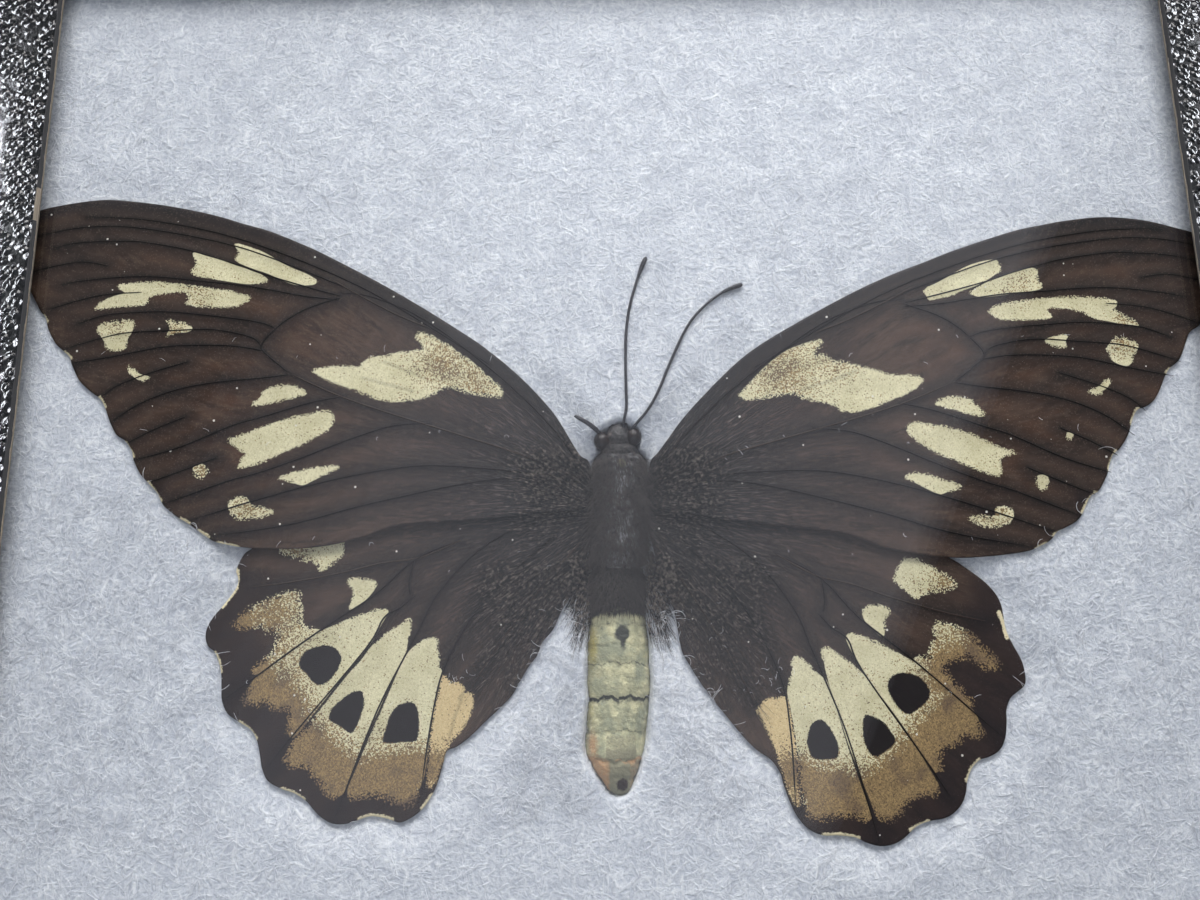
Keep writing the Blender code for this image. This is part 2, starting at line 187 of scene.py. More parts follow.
# The veil ends on the right along one soft straight line across the glass, and fades out slowly on the left
edge_low, edge_high = seen_in_glass(25, -50), seen_in_glass(70, 50)
edge_run = (edge_high - edge_low).normalized()
into_veil = Vector((-edge_run.y, edge_run.x, 0))
VEIL_LENGTH = 0.9
VEIL_RADIANCE = 0.56
VEIL_PARTS = [(-0.016 + 0.004 * i, 0.004, (i + 1) / 5) for i in range(4)] + [(0.0, 0.30, 1.0)]
VEIL_PARTS += [(0.30 + 0.014 * i, 0.014, 1 - (i + 1) / 9) for i in range(8)]
for start, width, share in VEIL_PARTS:
    centre = (edge_low + edge_high) / 2 + into_veil * (start + width / 2)
    bpy.ops.object.light_add(type="AREA", location=centre)
    veil = bpy.context.object
    veil.name = "veil_panel"
    veil.rotation_euler = (0, 0, math.atan2(edge_run.y, edge_run.x) - math.pi / 2)
    veil.data.shape = "RECTANGLE"
    veil.data.size, veil.data.size_y = width, VEIL_LENGTH
    veil.data.energy = VEIL_RADIANCE * share * math.pi * width * VEIL_LENGTH
    veil.data.color = linear("#eef2ff")[:3]
    veil.visible_camera = False
    veil.visible_diffuse = False
print("veil edge runs", tuple(round(v, 3) for v in edge_run))


# %% [markdown]
# ## The case
#
# The tray is pale uncoated pulp board. Board is not quite even: its fibres give a fine mottle and a faint tooth.
# The solid already has the right shape, so it keeps it and takes this material.

# %% Pulp board of the tray
pulp_board, tree, shader = new_material("uncoated pulp board")
place = add(tree, "TexCoord").outputs["Object"]
fibres = noise(tree, place, 1400.0, 4.0)
blotches = noise(tree, place, 60.0, 2.0)
mottle = mix(tree, fibres, "#b9ab93", "#d8cfbd")
stain = mix(tree, blotches, mottle, "#a99a80", "MULTIPLY")
plug(shader, {"Base Color": stain})
tooth = add(tree, "Bump", {"Height": fibres, "Distance": 0.00008, "Strength": 0.6})
plug(shader, {"Normal": tooth.outputs["Normal"], "Roughness": 0.92})
dress(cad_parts["case_base"], pulp_board)


# %% [markdown]
# The lid's pins are plain nickel-plated steel. Drawing and plating leave fine marks along a pin, so its
# roughness is uneven. A metal keeps the default IOR: its colour does the work.

# %% Nickel-plated steel of the pins
nickel_plate, tree, shader = new_material("nickel-plated steel")
place = add(tree, "TexCoord").outputs["Object"]
scuffs = noise(tree, place, 3000.0, 3.0)
shine = stretch(tree, scuffs, (0, 1), (0.16, 0.42))
plug(shader, {"Roughness": shine})
worn = mix(tree, scuffs, "#c4c2bb", "#dedcd4")
plug(shader, {"Base Color": worn, "Metallic": 1.0})
for wall in ("left", "right", "top", "bottom"):
    dress(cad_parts[f"lid_pin_{wall}"], nickel_plate)


# %% [markdown]
# The pane is 1.8 mm window glass. It is clear, so it is all transmission at glass's IOR of 1.5. Light that
# passes through a solid pane is costly to trace, so the pane casts no shadow and lets the lamps straight in.

# %% Window glass
window_glass, tree, shader = new_material("soda-lime window glass")
place = add(tree, "TexCoord").outputs["Object"]
wipes = add(tree, "TexNoise", {"Vector": place, "Scale": 35.0, "Detail": 3.0, "Distortion": 1.5})
haze = stretch(tree, wipes.outputs["Fac"], (0.45, 0.75), (0.0, 0.012))
plug(shader, {"Roughness": haze, "Base Color": linear("#fbfdfc"), "Transmission Weight": 1.0, "IOR": 1.5})
dress(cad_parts["glass_pane"], window_glass)
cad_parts["glass_pane"].visible_shadow = False


# %% [markdown]
# ## The lid
#
# The lid is card, wrapped outside in black pebbled paper. A cube is opened below, its top is inset to the
# window's edge and the middle taken out, and Solidify turns that skin into board. The rim that Solidify makes
# round the window is the board's cut edge. The paper turns over it and leaves only a thin tan line by the glass.

# %% Helpers for shaping
def edit_faces(obj, wanted):
    """Enters edit mode with only the faces selected that a test on their centre and normal picks."""
    bpy.ops.object.select_all(action="DESELECT")
    bpy.context.view_layer.objects.active = obj
    obj.select_set(True)
    bpy.ops.object.mode_set(mode="EDIT")
    bpy.ops.mesh.select_mode(type="FACE")
    bpy.ops.mesh.select_all(action="DESELECT")
    bpy.ops.object.mode_set(mode="OBJECT")
    for face in obj.data.polygons:
        face.select = wanted(face.center, face.normal)
    bpy.ops.object.mode_set(mode="EDIT")


def apply_all(obj):
    """Applies an object's modifiers from first to last, then its place, turn and scale."""
    bpy.ops.object.select_all(action="DESELECT")
    bpy.context.view_layer.objects.active = obj
    obj.select_set(True)
    for modifier in list(obj.modifiers):
        bpy.ops.object.modifier_apply(modifier=modifier.name)
    bpy.ops.object.transform_apply(location=True, rotation=True, scale=True)


def belongs(piece, slot, *nodes):
    """Hides the frame's nodes that a finished piece stands for, and lets it ride on the case. The slot is not used.
    """
    if nodes:
        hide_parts(*nodes)
    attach(piece, "root")
    print(piece.name, len(piece.data.polygons), "faces")


# %% The lid's skin and board
LID_SIDE = 0.2095
LID_FOOT = 0.0006
LID_TOP = 0.020
BOARD = 0.0016
WINDOW_SIDE = 0.1845
bpy.ops.mesh.primitive_cube_add(size=1, location=(0, 0, (LID_FOOT + LID_TOP) / 2))
lid = bpy.context.object
lid.name = "leatherette_lid"
lid.scale = (LID_SIDE, LID_SIDE, LID_TOP - LID_FOOT)
bpy.ops.object.transform_apply(location=True, rotation=False, scale=True)
edit_faces(lid, lambda centre, normal: normal.z > 0.9)
bpy.ops.mesh.inset(thickness=(LID_SIDE - WINDOW_SIDE) / 2)
bpy.ops.mesh.delete(type="FACE")
bpy.ops.object.mode_set(mode="OBJECT")
edit_faces(lid, lambda centre, normal: normal.z < -0.9)
bpy.ops.mesh.delete(type="FACE")
bpy.ops.object.mode_set(mode="OBJECT")
board = lid.modifiers.new("board", "SOLIDIFY")
board.thickness = BOARD
board.offset = -1
board.use_even_offset = True
board.material_offset_rim = 1
fold = lid.modifiers.new("folded edges", "BEVEL")
fold.width = 0.0009
fold.segments = 3
fold.limit_method = "ANGLE"
fold.angle_limit = math.radians(50)

# %% [markdown]
# Black leatherette is paper with a pressed pebble grain: rounded cells a little over 1 mm across, with narrow valleys
# between them, under a glossy film that sparkles wherever a cell faces the lamp. The cells are Voronoi cells
# with rounded tops, and finer wrinkles run across them.

# %% Leatherette and cut card edge
PEBBLE = 1.3 * MM
leatherette, tree, shader = new_material("pebbled black leatherette paper")
place = add(tree, "TexCoord").outputs["Object"]
warp = add(tree, "TexNoise", {"Vector": place, "Scale": 520.0, "Detail": 3.0})
shift = add(tree, "VectorMath", {0: warp.outputs["Color"], 1: (0.0008, 0.0008, 0.0008)}, operation="MULTIPLY")
swayed = add(tree, "VectorMath", {0: place, 1: shift.outputs["Vector"]}, operation="ADD")
cells = add(tree, "TexVoronoi", {"Vector": swayed.outputs["Vector"], "Scale": 1 / PEBBLE})
domes = add(tree, "MapRange", {"Value": cells.outputs["Distance"], "From Min": 0.75, "From Max": 0.05},
            interpolation_type="SMOOTHSTEP")
wrinkles = noise(tree, place, 1900.0, 2.0)
relief = add(tree, "Math", {0: wrinkles, 1: 0.07, 2: domes.outputs["Result"]}, operation="MULTIPLY_ADD")
pressed = add(tree, "Bump", {"Height": relief.outputs["Value"], "Distance": 0.00036, "Strength": 1.0})
plug(shader, {"Normal": pressed.outputs["Normal"]})
# The valleys are painted near black and the dome tops greyer: painted shade in the creases between pebbles
film = mix(tree, domes.outputs["Result"], "#050506", "#17181c")
plug(shader, {"Base Color": film})
gloss = stretch(tree, wrinkles, (0, 1), (0.17, 0.32))
plug(shader, {"Roughness": gloss, "Coat Weight": 0.5, "Coat Roughness": 0.12})

cut_card, tree, shader = new_material("raw cut edge of card")
place = add(tree, "TexCoord").outputs["Object"]
plies = add(tree, "Mapping", {"Vector": place, "Scale": (300.0, 300.0, 5000.0)})
layers = noise(tree, plies.outputs["Vector"], 1.0, 3.0)
torn = mix(tree, layers, "#6f6252", "#bfb19a")
# The black paper turns over the edge and covers all of it but a thin line next to the glass
height = add(tree, "SeparateXYZ", {"Vector": place}).outputs["Z"]
turned = add(tree, "Math", {0: layers, 1: 0.0005, 2: height}, operation="MULTIPLY_ADD")
covered = add(tree, "Math", {0: turned.outputs["Value"], 1: 0.0196}, operation="GREATER_THAN")
# One spot on the left rail has lost its paper
from_wear = add(tree, "VectorMath", {0: place, 1: (-0.0925, 0.0488, 0.0196)}, operation="DISTANCE")
unworn = add(tree, "Math", {0: from_wear.outputs["Value"], 1: 0.0028}, operation="GREATER_THAN")
black = add(tree, "Math", {0: covered.outputs["Value"], 1: unworn.outputs["Value"]}, operation="MULTIPLY")
edging = mix(tree, black.outputs["Value"], torn, "#121214")
plug(shader, {"Base Color": edging, "Roughness": 0.8})
dress(lid, leatherette, cut_card)
apply_all(lid)
bpy.ops.object.shade_smooth_by_angle(angle=math.radians(40))
belongs(lid, "leatherette", "case_lid")

# The rails' film mirrors bright windows on both sides, which light linking keeps off everything else
lid_only = bpy.data.collections.new("lit by the side windows")
lid_only.objects.link(lid)
for side in (-1, 1):
    glint = panel_light("side_window", (side * 0.50, 0.16, 0.27), (side * 0.1, 0.03, 0.02), (0.40, 0.13), 6.0,
                        "#f4f7ff")
    glint.light_linking.receiver_collection = lid_only
    glint.visible_diffuse = False


# %% [markdown]
# ## The wings
#
# A butterfly's wing is a thin pleated film, stiffened by hollow veins that fan out from its root and covered in
# coloured scales. The pattern could be painted on an image, but here it is drawn as outlines in millimetres,
# read off the photograph: each wing has its own edge, its pale patches, its round spots, its veins and
# the bright dashes of its fringe. Places are (x, y) in millimetres in the case's own frame. Neighbouring patches
# go in two sets, so that the thin dark line between two of them never closes up.

# %% The left forewing, in millimetres
FOREWING_LEFT = {
    "front": [(-4.2, 6.3), (-5.7, 7.7), (-7, 9.7), (-8.5, 12.3), (-10, 14.6), (-12.3, 17.3), (-15, 20.1), (-18, 22.8),
              (-20, 24.4), (-21.9, 25.9), (-26.2, 28.8), (-30, 31.3), (-35.5, 34.7), (-40, 37.3), (-46.2, 40.7),
              (-50, 42.6), (-55.8, 45.1), (-60, 46.4), (-63.9, 47.7), (-68, 48.8), (-73.9, 50), (-80, 50.8),
              (-84.2, 51), (-90, 50.2), (-94.3, 49.1), (-96.3, 47)],
    "margin": [(-96.5, 43), (-95.8, 39), (-94.7, 36.6), (-92.9, 33.5), (-91.9, 31.8), (-91, 30.8), (-90.5, 29),
               (-89.7, 27.5), (-88.8, 26.2), (-87.4, 25), (-86.5, 24.1), (-86.1, 23), (-85.1, 21), (-84.2, 19.8),
               (-82.3, 18.2), (-81, 17.3), (-80.2, 16), (-79.2, 13.7), (-78, 11.5), (-76.5, 10.5), (-75.4, 9),
               (-74.9, 7.4), (-73.7, 5.2), (-72.3, 3.8), (-70.8, 2.2), (-70.1, 0.9), (-69.4, 0), (-67.5, -1.5),
               (-65.9, -2.4), (-64.2, -3.6), (-62.4, -4.8), (-61.3, -5.4), (-58.2, -6.1), (-55.6, -6.4)],
    "rear": [(-52.5, -6.5), (-48, -6.5), (-43, -5.9), (-38, -4.6), (-34, -3.2), (-28, -2.7), (-20, -2.2),
             (-12, -1.2), (-4.1, 0)],
    "patches": [
        [(-61.5, 42.9), (-60, 42.6), (-58, 41.9), (-55.8, 40.8), (-53.8, 39.5), (-51.5, 38.4), (-49.3, 37.4),
         (-48, 36.3), (-49.3, 35.9), (-51.3, 36), (-53, 36.6), (-56, 38), (-58.5, 38.9), (-61.2, 40.2),
         (-60.7, 41.5)],
        [(-79.9, 36.1), (-78, 36.4), (-74, 36.6), (-70, 36.1), (-66.2, 35.5), (-62.6, 35), (-60.1, 34.3),
         (-58.8, 33.7), (-60.6, 32.5), (-63, 32.4), (-66.2, 32.5), (-68.7, 33), (-68, 34.1), (-68.8, 34.8),
         (-70, 35), (-72.4, 34.8), (-74.4, 34.4), (-75.1, 33.7), (-75.3, 33), (-77.5, 32.7), (-80, 32.6),
         (-83.1, 32.2), (-81.9, 33.5), (-80.4, 34.2), (-78.4, 34.8), (-79.3, 35.4)],
        [(-71.4, 29.9), (-70, 29.6), (-68.9, 29.5), (-67.5, 28.7), (-68.4, 28.2), (-70.1, 28.1), (-71.3, 27.6),
         (-70.8, 28.7)],
        [(-47.8, 21.5), (-45.9, 21.9), (-43.1, 22.2), (-40.5, 21.9), (-40, 22.7), (-38.8, 23.5), (-36.6, 23.7),
         (-34.5, 24.3), (-32.5, 24.4), (-30.3, 24.7), (-30.6, 25.6), (-31.5, 26.8), (-31.2, 27.6), (-30.1, 27.3),
         (-27.8, 26.1), (-26.2, 25.2), (-23.9, 23.3), (-21.9, 21.8), (-19.9, 19.8), (-18.4, 18.5), (-18.1, 17.2),
         (-20, 17.4), (-21.6, 17.5), (-23.6, 18), (-25.7, 18.7), (-27.2, 18.5), (-29.3, 17.4), (-30.7, 16.8),
         (-32.9, 16.7), (-35, 16.4), (-36.6, 16.8), (-38, 17.1), (-40.3, 18.1), (-42.5, 18.9), (-44.8, 19.8),
         (-46.5, 20.6)],
        [(-60.4, 10.3), (-58.7, 11), (-55.6, 12.2), (-51.9, 13.5), (-48, 14.4), (-45.7, 14.9), (-44.6, 14.4),
         (-44.4, 13.3), (-45.1, 12), (-46.7, 11.1), (-48.7, 9.9), (-51.5, 8.7), (-54.9, 7.1), (-58, 6.2),
         (-58.5, 6.5), (-57.8, 8), (-58.3, 8.9)],
        [(-65.5, 6.1), (-64.3, 6.6), (-63.6, 5.8), (-64.1, 4.6), (-65, 5.3)]],
    "more_patches": [
        [(-68.2, 41.5), (-66.2, 40.9), (-63.9, 40.2), (-61, 39.1), (-58.3, 38.3), (-56.3, 37.1), (-56.4, 36.5),
         (-58.3, 36.2), (-60, 36.3), (-62.9, 36.8), (-65.7, 37.3), (-67.3, 37.7), (-68.2, 38.5), (-67.4, 39.7)],
        [(-82.5, 28.8), (-81.5, 29.6), (-79, 30), (-77, 30), (-77.1, 28.2), (-77.7, 27.2), (-77.9, 25.6),
         (-79.6, 25.2), (-80.7, 25.8), (-81.4, 27.1)],
        [(-77.1, 22.5), (-76.2, 21.9), (-75.1, 21.1), (-73.7, 20.7), (-74.5, 20.3), (-75.4, 20.5), (-76.4, 21.3)],
        [(-57, 16.1), (-55.8, 17.1), (-55.4, 18.2), (-54, 18.8), (-51.8, 19.1), (-50.1, 18.7), (-48.9, 17.8),
         (-51.5, 17.1), (-53.8, 16.5)],
        [(-52.2, 4.4), (-50.3, 5), (-48, 5.6), (-45.7, 5.9), (-43.2, 6), (-44.7, 5.2), (-46.7, 4.2), (-48.5, 3.3),
         (-50.2, 3.9)],
        [(-59.7, 0.2), (-59.2, 0.9), (-58, 1.3), (-56.8, 0.9), (-56.2, 0.1), (-54.5, -0.3), (-53.1, -0.8),
         (-53.9, -1.3), (-55.6, -1.6), (-57.6, -1.7), (-59.1, -1.1)]],
    "spots": [],
    "fringe": [[(-91.3, 31), (-90.8, 30.2)], [(-87.4, 25), (-86.4, 24)], [(-81.1, 17.5), (-80.2, 15.9)],
               [(-76.4, 10.1), (-75.1, 8)], [(-72.3, 3.8), (-71.2, 2.3), (-70.2, 1)], [(-66.9, -1.8), (-65.6, -2.5)],
               [(-64, -3.7), (-62.4, -4.6)], [(-61, -5.6), (-58, -6.2)]],
    "gold": [(-27.5, 22.5, 4.5, 0.6), (-21.5, 19, 3, 0.5), (-64.4, 5.6, 1.4, 0.6), (-57, -0.6, 3, 0.5),
             (-70.8, 2.4, 1.3, 1.0), (-79.5, 29.5, 1.6, 0.4), (-70, 28.6, 1.6, 0.4), (-67, 34.2, 2.5, 0.35)],
    "brown": [(-76, 30, 16, 0.7), (-62, 15, 11, 1.0), (-53, 31, 6, 0.9), (-57, 6, 8, 0.8), (-66, 26, 8, 0.6)],
    "fold_shade_lines": [[(-40, 20.3), (-32, 18)], [(-37, 23), (-30, 20)], [(-82, 27.7), (-77, 27.9)],
              [(-30, 31.3), (-45, 38.5), (-60, 44.5), (-75, 48)]],
}
FOREWING_LEFT_VEINS = [
    [(-20, 22.3), (-40, 35), (-60, 43.6), (-75, 47.2), (-86, 48)],
    [(-42, 34.8), (-60, 42.2), (-76, 45.8), (-86, 46.2), (-94, 44.7)],
    [(-44, 33.9), (-49.5, 35.5), (-57, 37.9), (-61.1, 39.5), (-66.2, 41.2), (-70, 42.3), (-76.5, 43.5), (-80, 43.7),
     (-86.7, 43.5), (-90.8, 42.7)],
    [(-82, 39.5), (-86, 40.2), (-90, 39.6), (-93.9, 38.6)],
    [(-44, 33.2), (-50, 34), (-54.4, 34.9), (-60, 35.9), (-66.2, 36.6), (-73.9, 37.5), (-80, 37.5), (-86, 36.9),
     (-88.8, 36.4)],
    [(-76, 34.9), (-81.6, 34.6), (-86, 33.6), (-90.6, 32.1)],
    [(-54.1, 28.5), (-56, 29.4), (-60, 30.2), (-66.2, 31), (-72.6, 31.6), (-80, 31.3), (-82.6, 30.8), (-86, 29.6)],
    [(-56.3, 25.7), (-58, 27.2), (-64, 28.5), (-70, 28.4), (-76.5, 28.2), (-80, 27.7), (-85.4, 26.2), (-87.3, 25.5)],
    [(-55.5, 24.8), (-59.6, 25.6), (-63.8, 25.9), (-68, 25.9), (-72.3, 25.6), (-80.2, 24.1), (-86, 23.2)],
    [(-67.7, 23.2), (-73.9, 21.3), (-78.5, 19.4), (-81, 17.4)],
    [(-51.5, 20.9), (-55.9, 20.4), (-63.8, 19.7), (-70, 18.4), (-75.1, 16.2), (-79, 13.4)],
    [(-67.5, 14.2), (-72.3, 12.2), (-76.2, 10.1)],
    [(-42.5, 17.3), (-48.1, 16.3), (-56, 13.9), (-60.1, 12.7), (-68, 9.4), (-75, 7.4)],
    [(-62.1, 7.7), (-69.4, 4.9), (-72.3, 3.9)],
    [(-29, 12.8), (-35.2, 12.4), (-42, 10.2), (-49.3, 7.4), (-55.6, 5.2), (-60, 4), (-69.8, 0.5)],
    [(-5, 3.8), (-13.3, 4.8), (-20, 5.5), (-30, 6.1), (-40, 4.8), (-52, 2), (-66, -2.2)],
    [(-5, 3.5), (-16.7, 4), (-24.7, 3), (-31.3, 1.7), (-40, -0.2), (-50, -2.8), (-62, -4.5)],
    [(-54.1, 28.5), (-56.3, 25.7), (-54.4, 23.5), (-51.5, 21.1)],
    [(-44, 33.6), (-48.7, 32.1), (-52.1, 30.2), (-54.1, 28.5)],
    [(-6, 6.5), (-10, 12), (-18, 20), (-30, 29.5), (-38.6, 33.6), (-44, 34.4)]]
FOREWING_LEFT_PALE_VEINS = [
    [(-5.3, 4), (-10, 5.7), (-16, 8.1), (-23.6, 10.6), (-30.1, 12.7), (-36, 14.6), (-43.9, 17.5), (-51.5, 21.1)],
    [(-29.5, 28.3), (-35.2, 30.8), (-41.9, 34.5), (-45.9, 36.9)]]

# %% The right forewing, in millimetres
FOREWING_RIGHT = {
    "front": [(5.2, 6.2), (6.5, 8), (8, 10), (10, 12.7), (12, 15), (14.2, 17.3), (16.5, 19.6), (20, 22.8), (24, 25.6),
              (30, 29.1), (34, 31.3), (38, 33.4), (42, 35.3), (46, 37), (50, 38.5), (54, 40.1), (58, 41.5),
              (62, 42.8), (66, 44), (70, 44.8), (74, 45.5), (80, 46), (86, 45.4), (90, 44.4), (94.6, 43),
              (96.2, 41.6)],
    "margin": [(96.8, 38), (96.2, 34), (95, 32), (93.6, 28.8), (93, 27.3), (91.4, 26.2), (90.4, 24.2), (89.6, 22.5),
               (88.7, 21.3), (87.3, 20.2), (86.4, 18.9), (85.7, 17.4), (84.9, 16), (84, 14.9), (82.8, 14.1),
               (81.4, 13.6), (80.6, 12.3), (80, 10.8), (79.2, 9.1), (77.9, 7.4), (76.8, 6.6), (76, 4.8),
               (75.5, 3.4), (74.6, 1.8), (73.8, 0.8), (72.7, 0.2), (71.6, -1.6), (70.8, -2.9), (69.9, -3.8),
               (68.4, -4.6), (66.8, -5.3), (66.1, -6.2), (65.2, -6.9), (63.6, -7.6), (62.4, -8.1), (60, -8.5),
               (56, -8.9)],
    "rear": [(50.6, -9), (42, -7.8), (33.8, -5), (20, -3.2), (12, -1.8), (5, 0)],
    "patches": [
        [(50.1, 33), (49.9, 33.9), (52, 34.9), (54, 36), (56.5, 37.4), (59, 38.3), (61.5, 38.7), (62.2, 38),
         (62.3, 37), (61.5, 36.5), (60, 35.5), (58, 34.5), (56, 33.8), (54, 33), (52, 32.5), (50.5, 32.2)],
        [(60, 30.2), (61, 30.9), (63.5, 31.4), (66.5, 31.8), (69.5, 32.1), (72.5, 32.2), (76, 32.1), (79, 31.8),
         (80.3, 31.4), (80, 30.6), (79.5, 30.1), (80.8, 29.2), (82, 28.4), (83.3, 27.5), (81.5, 27.6), (79, 28.2),
         (77, 28.6), (75.9, 29.1), (75, 29.8), (73, 30.4), (71, 30.6), (69.6, 30.7), (69.1, 30.1), (69.6, 29.3),
         (69.2, 28.9), (66.5, 28.7), (64, 28.8), (62, 28.8), (60.7, 29.3)],
        [(68.3, 25.1), (69.3, 25.5), (70.7, 25.8), (71.8, 25.8), (71.3, 25), (71.4, 24.1), (70.2, 24.2),
         (69.1, 24.5)],
        [(48.3, 18.8), (47, 19.5), (45, 19.6), (43, 19.8), (41, 20.5), (38.5, 21.2), (36, 21.8), (34.2, 22.2),
         (33, 23), (31.8, 23), (31.2, 23.4), (32, 24.3), (32.8, 25.5), (31.5, 25.3), (29.5, 24.7), (27.5, 24),
         (25.5, 22.7), (23.5, 21), (22, 19.5), (20.6, 18), (19.6, 16.9), (20.5, 16.3), (22.5, 16.3), (24.5, 16.7),
         (26.8, 17.1), (28.5, 16.9), (29.3, 16.4), (31.5, 15.8), (33.5, 15.3), (34.6, 14.9), (35.3, 14.2),
         (37.5, 14), (39.5, 14.4), (42, 15.3), (44.5, 16.3), (46.5, 17.3)],
        [(45.4, 10.7), (45.7, 11.5), (46.6, 12), (48.5, 11.7), (51, 11.2), (54, 10.4), (56.5, 9.3), (58.8, 8.1),
         (60.6, 7.4), (61.6, 7.1), (60.3, 6.8), (59.5, 6.4), (59.1, 5.6), (59.2, 4.4), (59, 3.5), (57.5, 3.9),
         (55, 4.9), (52.5, 6.1), (50, 7.1), (48, 8.3), (46.5, 9.4)],
        [(64.8, 3.2), (65.7, 3.4), (66.3, 3), (66.3, 2.3), (65.7, 1.5), (65, 1.4), (64.8, 2.3)]],
    "more_patches": [
        [(57.2, 33.2), (58.5, 34.1), (60.5, 35.1), (63, 36.1), (65.5, 36.9), (67.3, 37.2), (68.2, 36.7), (67.9, 35.6),
         (68.6, 34.1), (67.5, 33.6), (64.5, 33.2), (61.5, 32.8), (58.8, 32.6)],
        [(77.9, 23.5), (78.6, 24.5), (79.3, 25.2), (80.5, 25.2), (81.8, 24.8), (82.8, 24.2), (82.4, 23.2),
         (81.8, 22.6), (81.5, 21.6), (80.9, 20.9), (79.9, 21), (78.9, 21.5), (78.3, 22.2), (78.6, 22.9)],
        [(74.3, 16.8), (75.6, 17.2), (76.6, 17.9), (77.3, 18.5), (77.8, 18.3), (77.1, 17.4), (76.1, 16.6),
         (75.3, 16.3)],
        [(50.3, 15), (51, 15.6), (52.3, 15.9), (54, 16), (55.6, 15.4), (56.3, 14.6), (57, 13.8), (57.5, 13.2),
         (56, 13.3), (54.5, 13.6), (53, 14.1), (51.5, 14.6)],
        [(44.6, 3.3), (45.5, 3.9), (46.8, 3.8), (48.5, 3.5), (50.5, 2.7), (52, 2.2), (52.9, 1.9), (51.5, 1.4),
         (50.3, 1), (49.5, 0.8), (48.3, 1.3), (47, 2), (45.8, 2.7)],
        [(53.9, -3.1), (55.5, -2.9), (57.2, -3), (57.9, -2.5), (57.8, -1.9), (58.6, -1.5), (59.6, -1.5),
         (60.3, -2), (60.4, -2.8), (59.8, -3.6), (58.8, -4.1), (57.3, -4.3), (55.8, -4), (54.5, -3.5)],
        [(70.1, 10), (70.9, 9.9), (70.8, 9.4), (70.3, 9.2)]],
    "spots": [],
    "fringe": [[(87.7, 20.3), (86.8, 19.6)], [(81.5, 13.8), (80.9, 12.7), (80.3, 11.5)],
               [(77.3, 7.1), (76.7, 6), (75.9, 4.2)], [(73.5, 0.7), (72.3, -0.5), (71.1, -2.4)],
               [(68, -5.1), (66.3, -5.8)], [(65.1, -7.1), (63.5, -7.8)]],
    "gold": [(26.5, 20.5, 5.5, 0.6), (35.5, 22.5, 3, 0.5), (80.3, 24.3, 1.8, 0.6), (71.2, -0.3, 1.3, 1.0),
             (57, -2.8, 3, 0.45), (91.5, 41, 1.8, 0.8), (81.5, 28.8, 1.8, 0.5), (65, 34, 2.5, 0.3)],
    "brown": [(78, 26, 17, 0.9), (62, 12, 11, 0.9), (53, 28, 7, 0.8), (58, 2, 8, 0.7), (66, 22, 8, 0.6)],
    "fold_shade_lines": [[(34, 19), (38, 20.5)], [(29, 17.5), (36, 19.6)], [(30, 27.6), (45, 34.6), (60, 40.2), (75, 43.2)]],
}

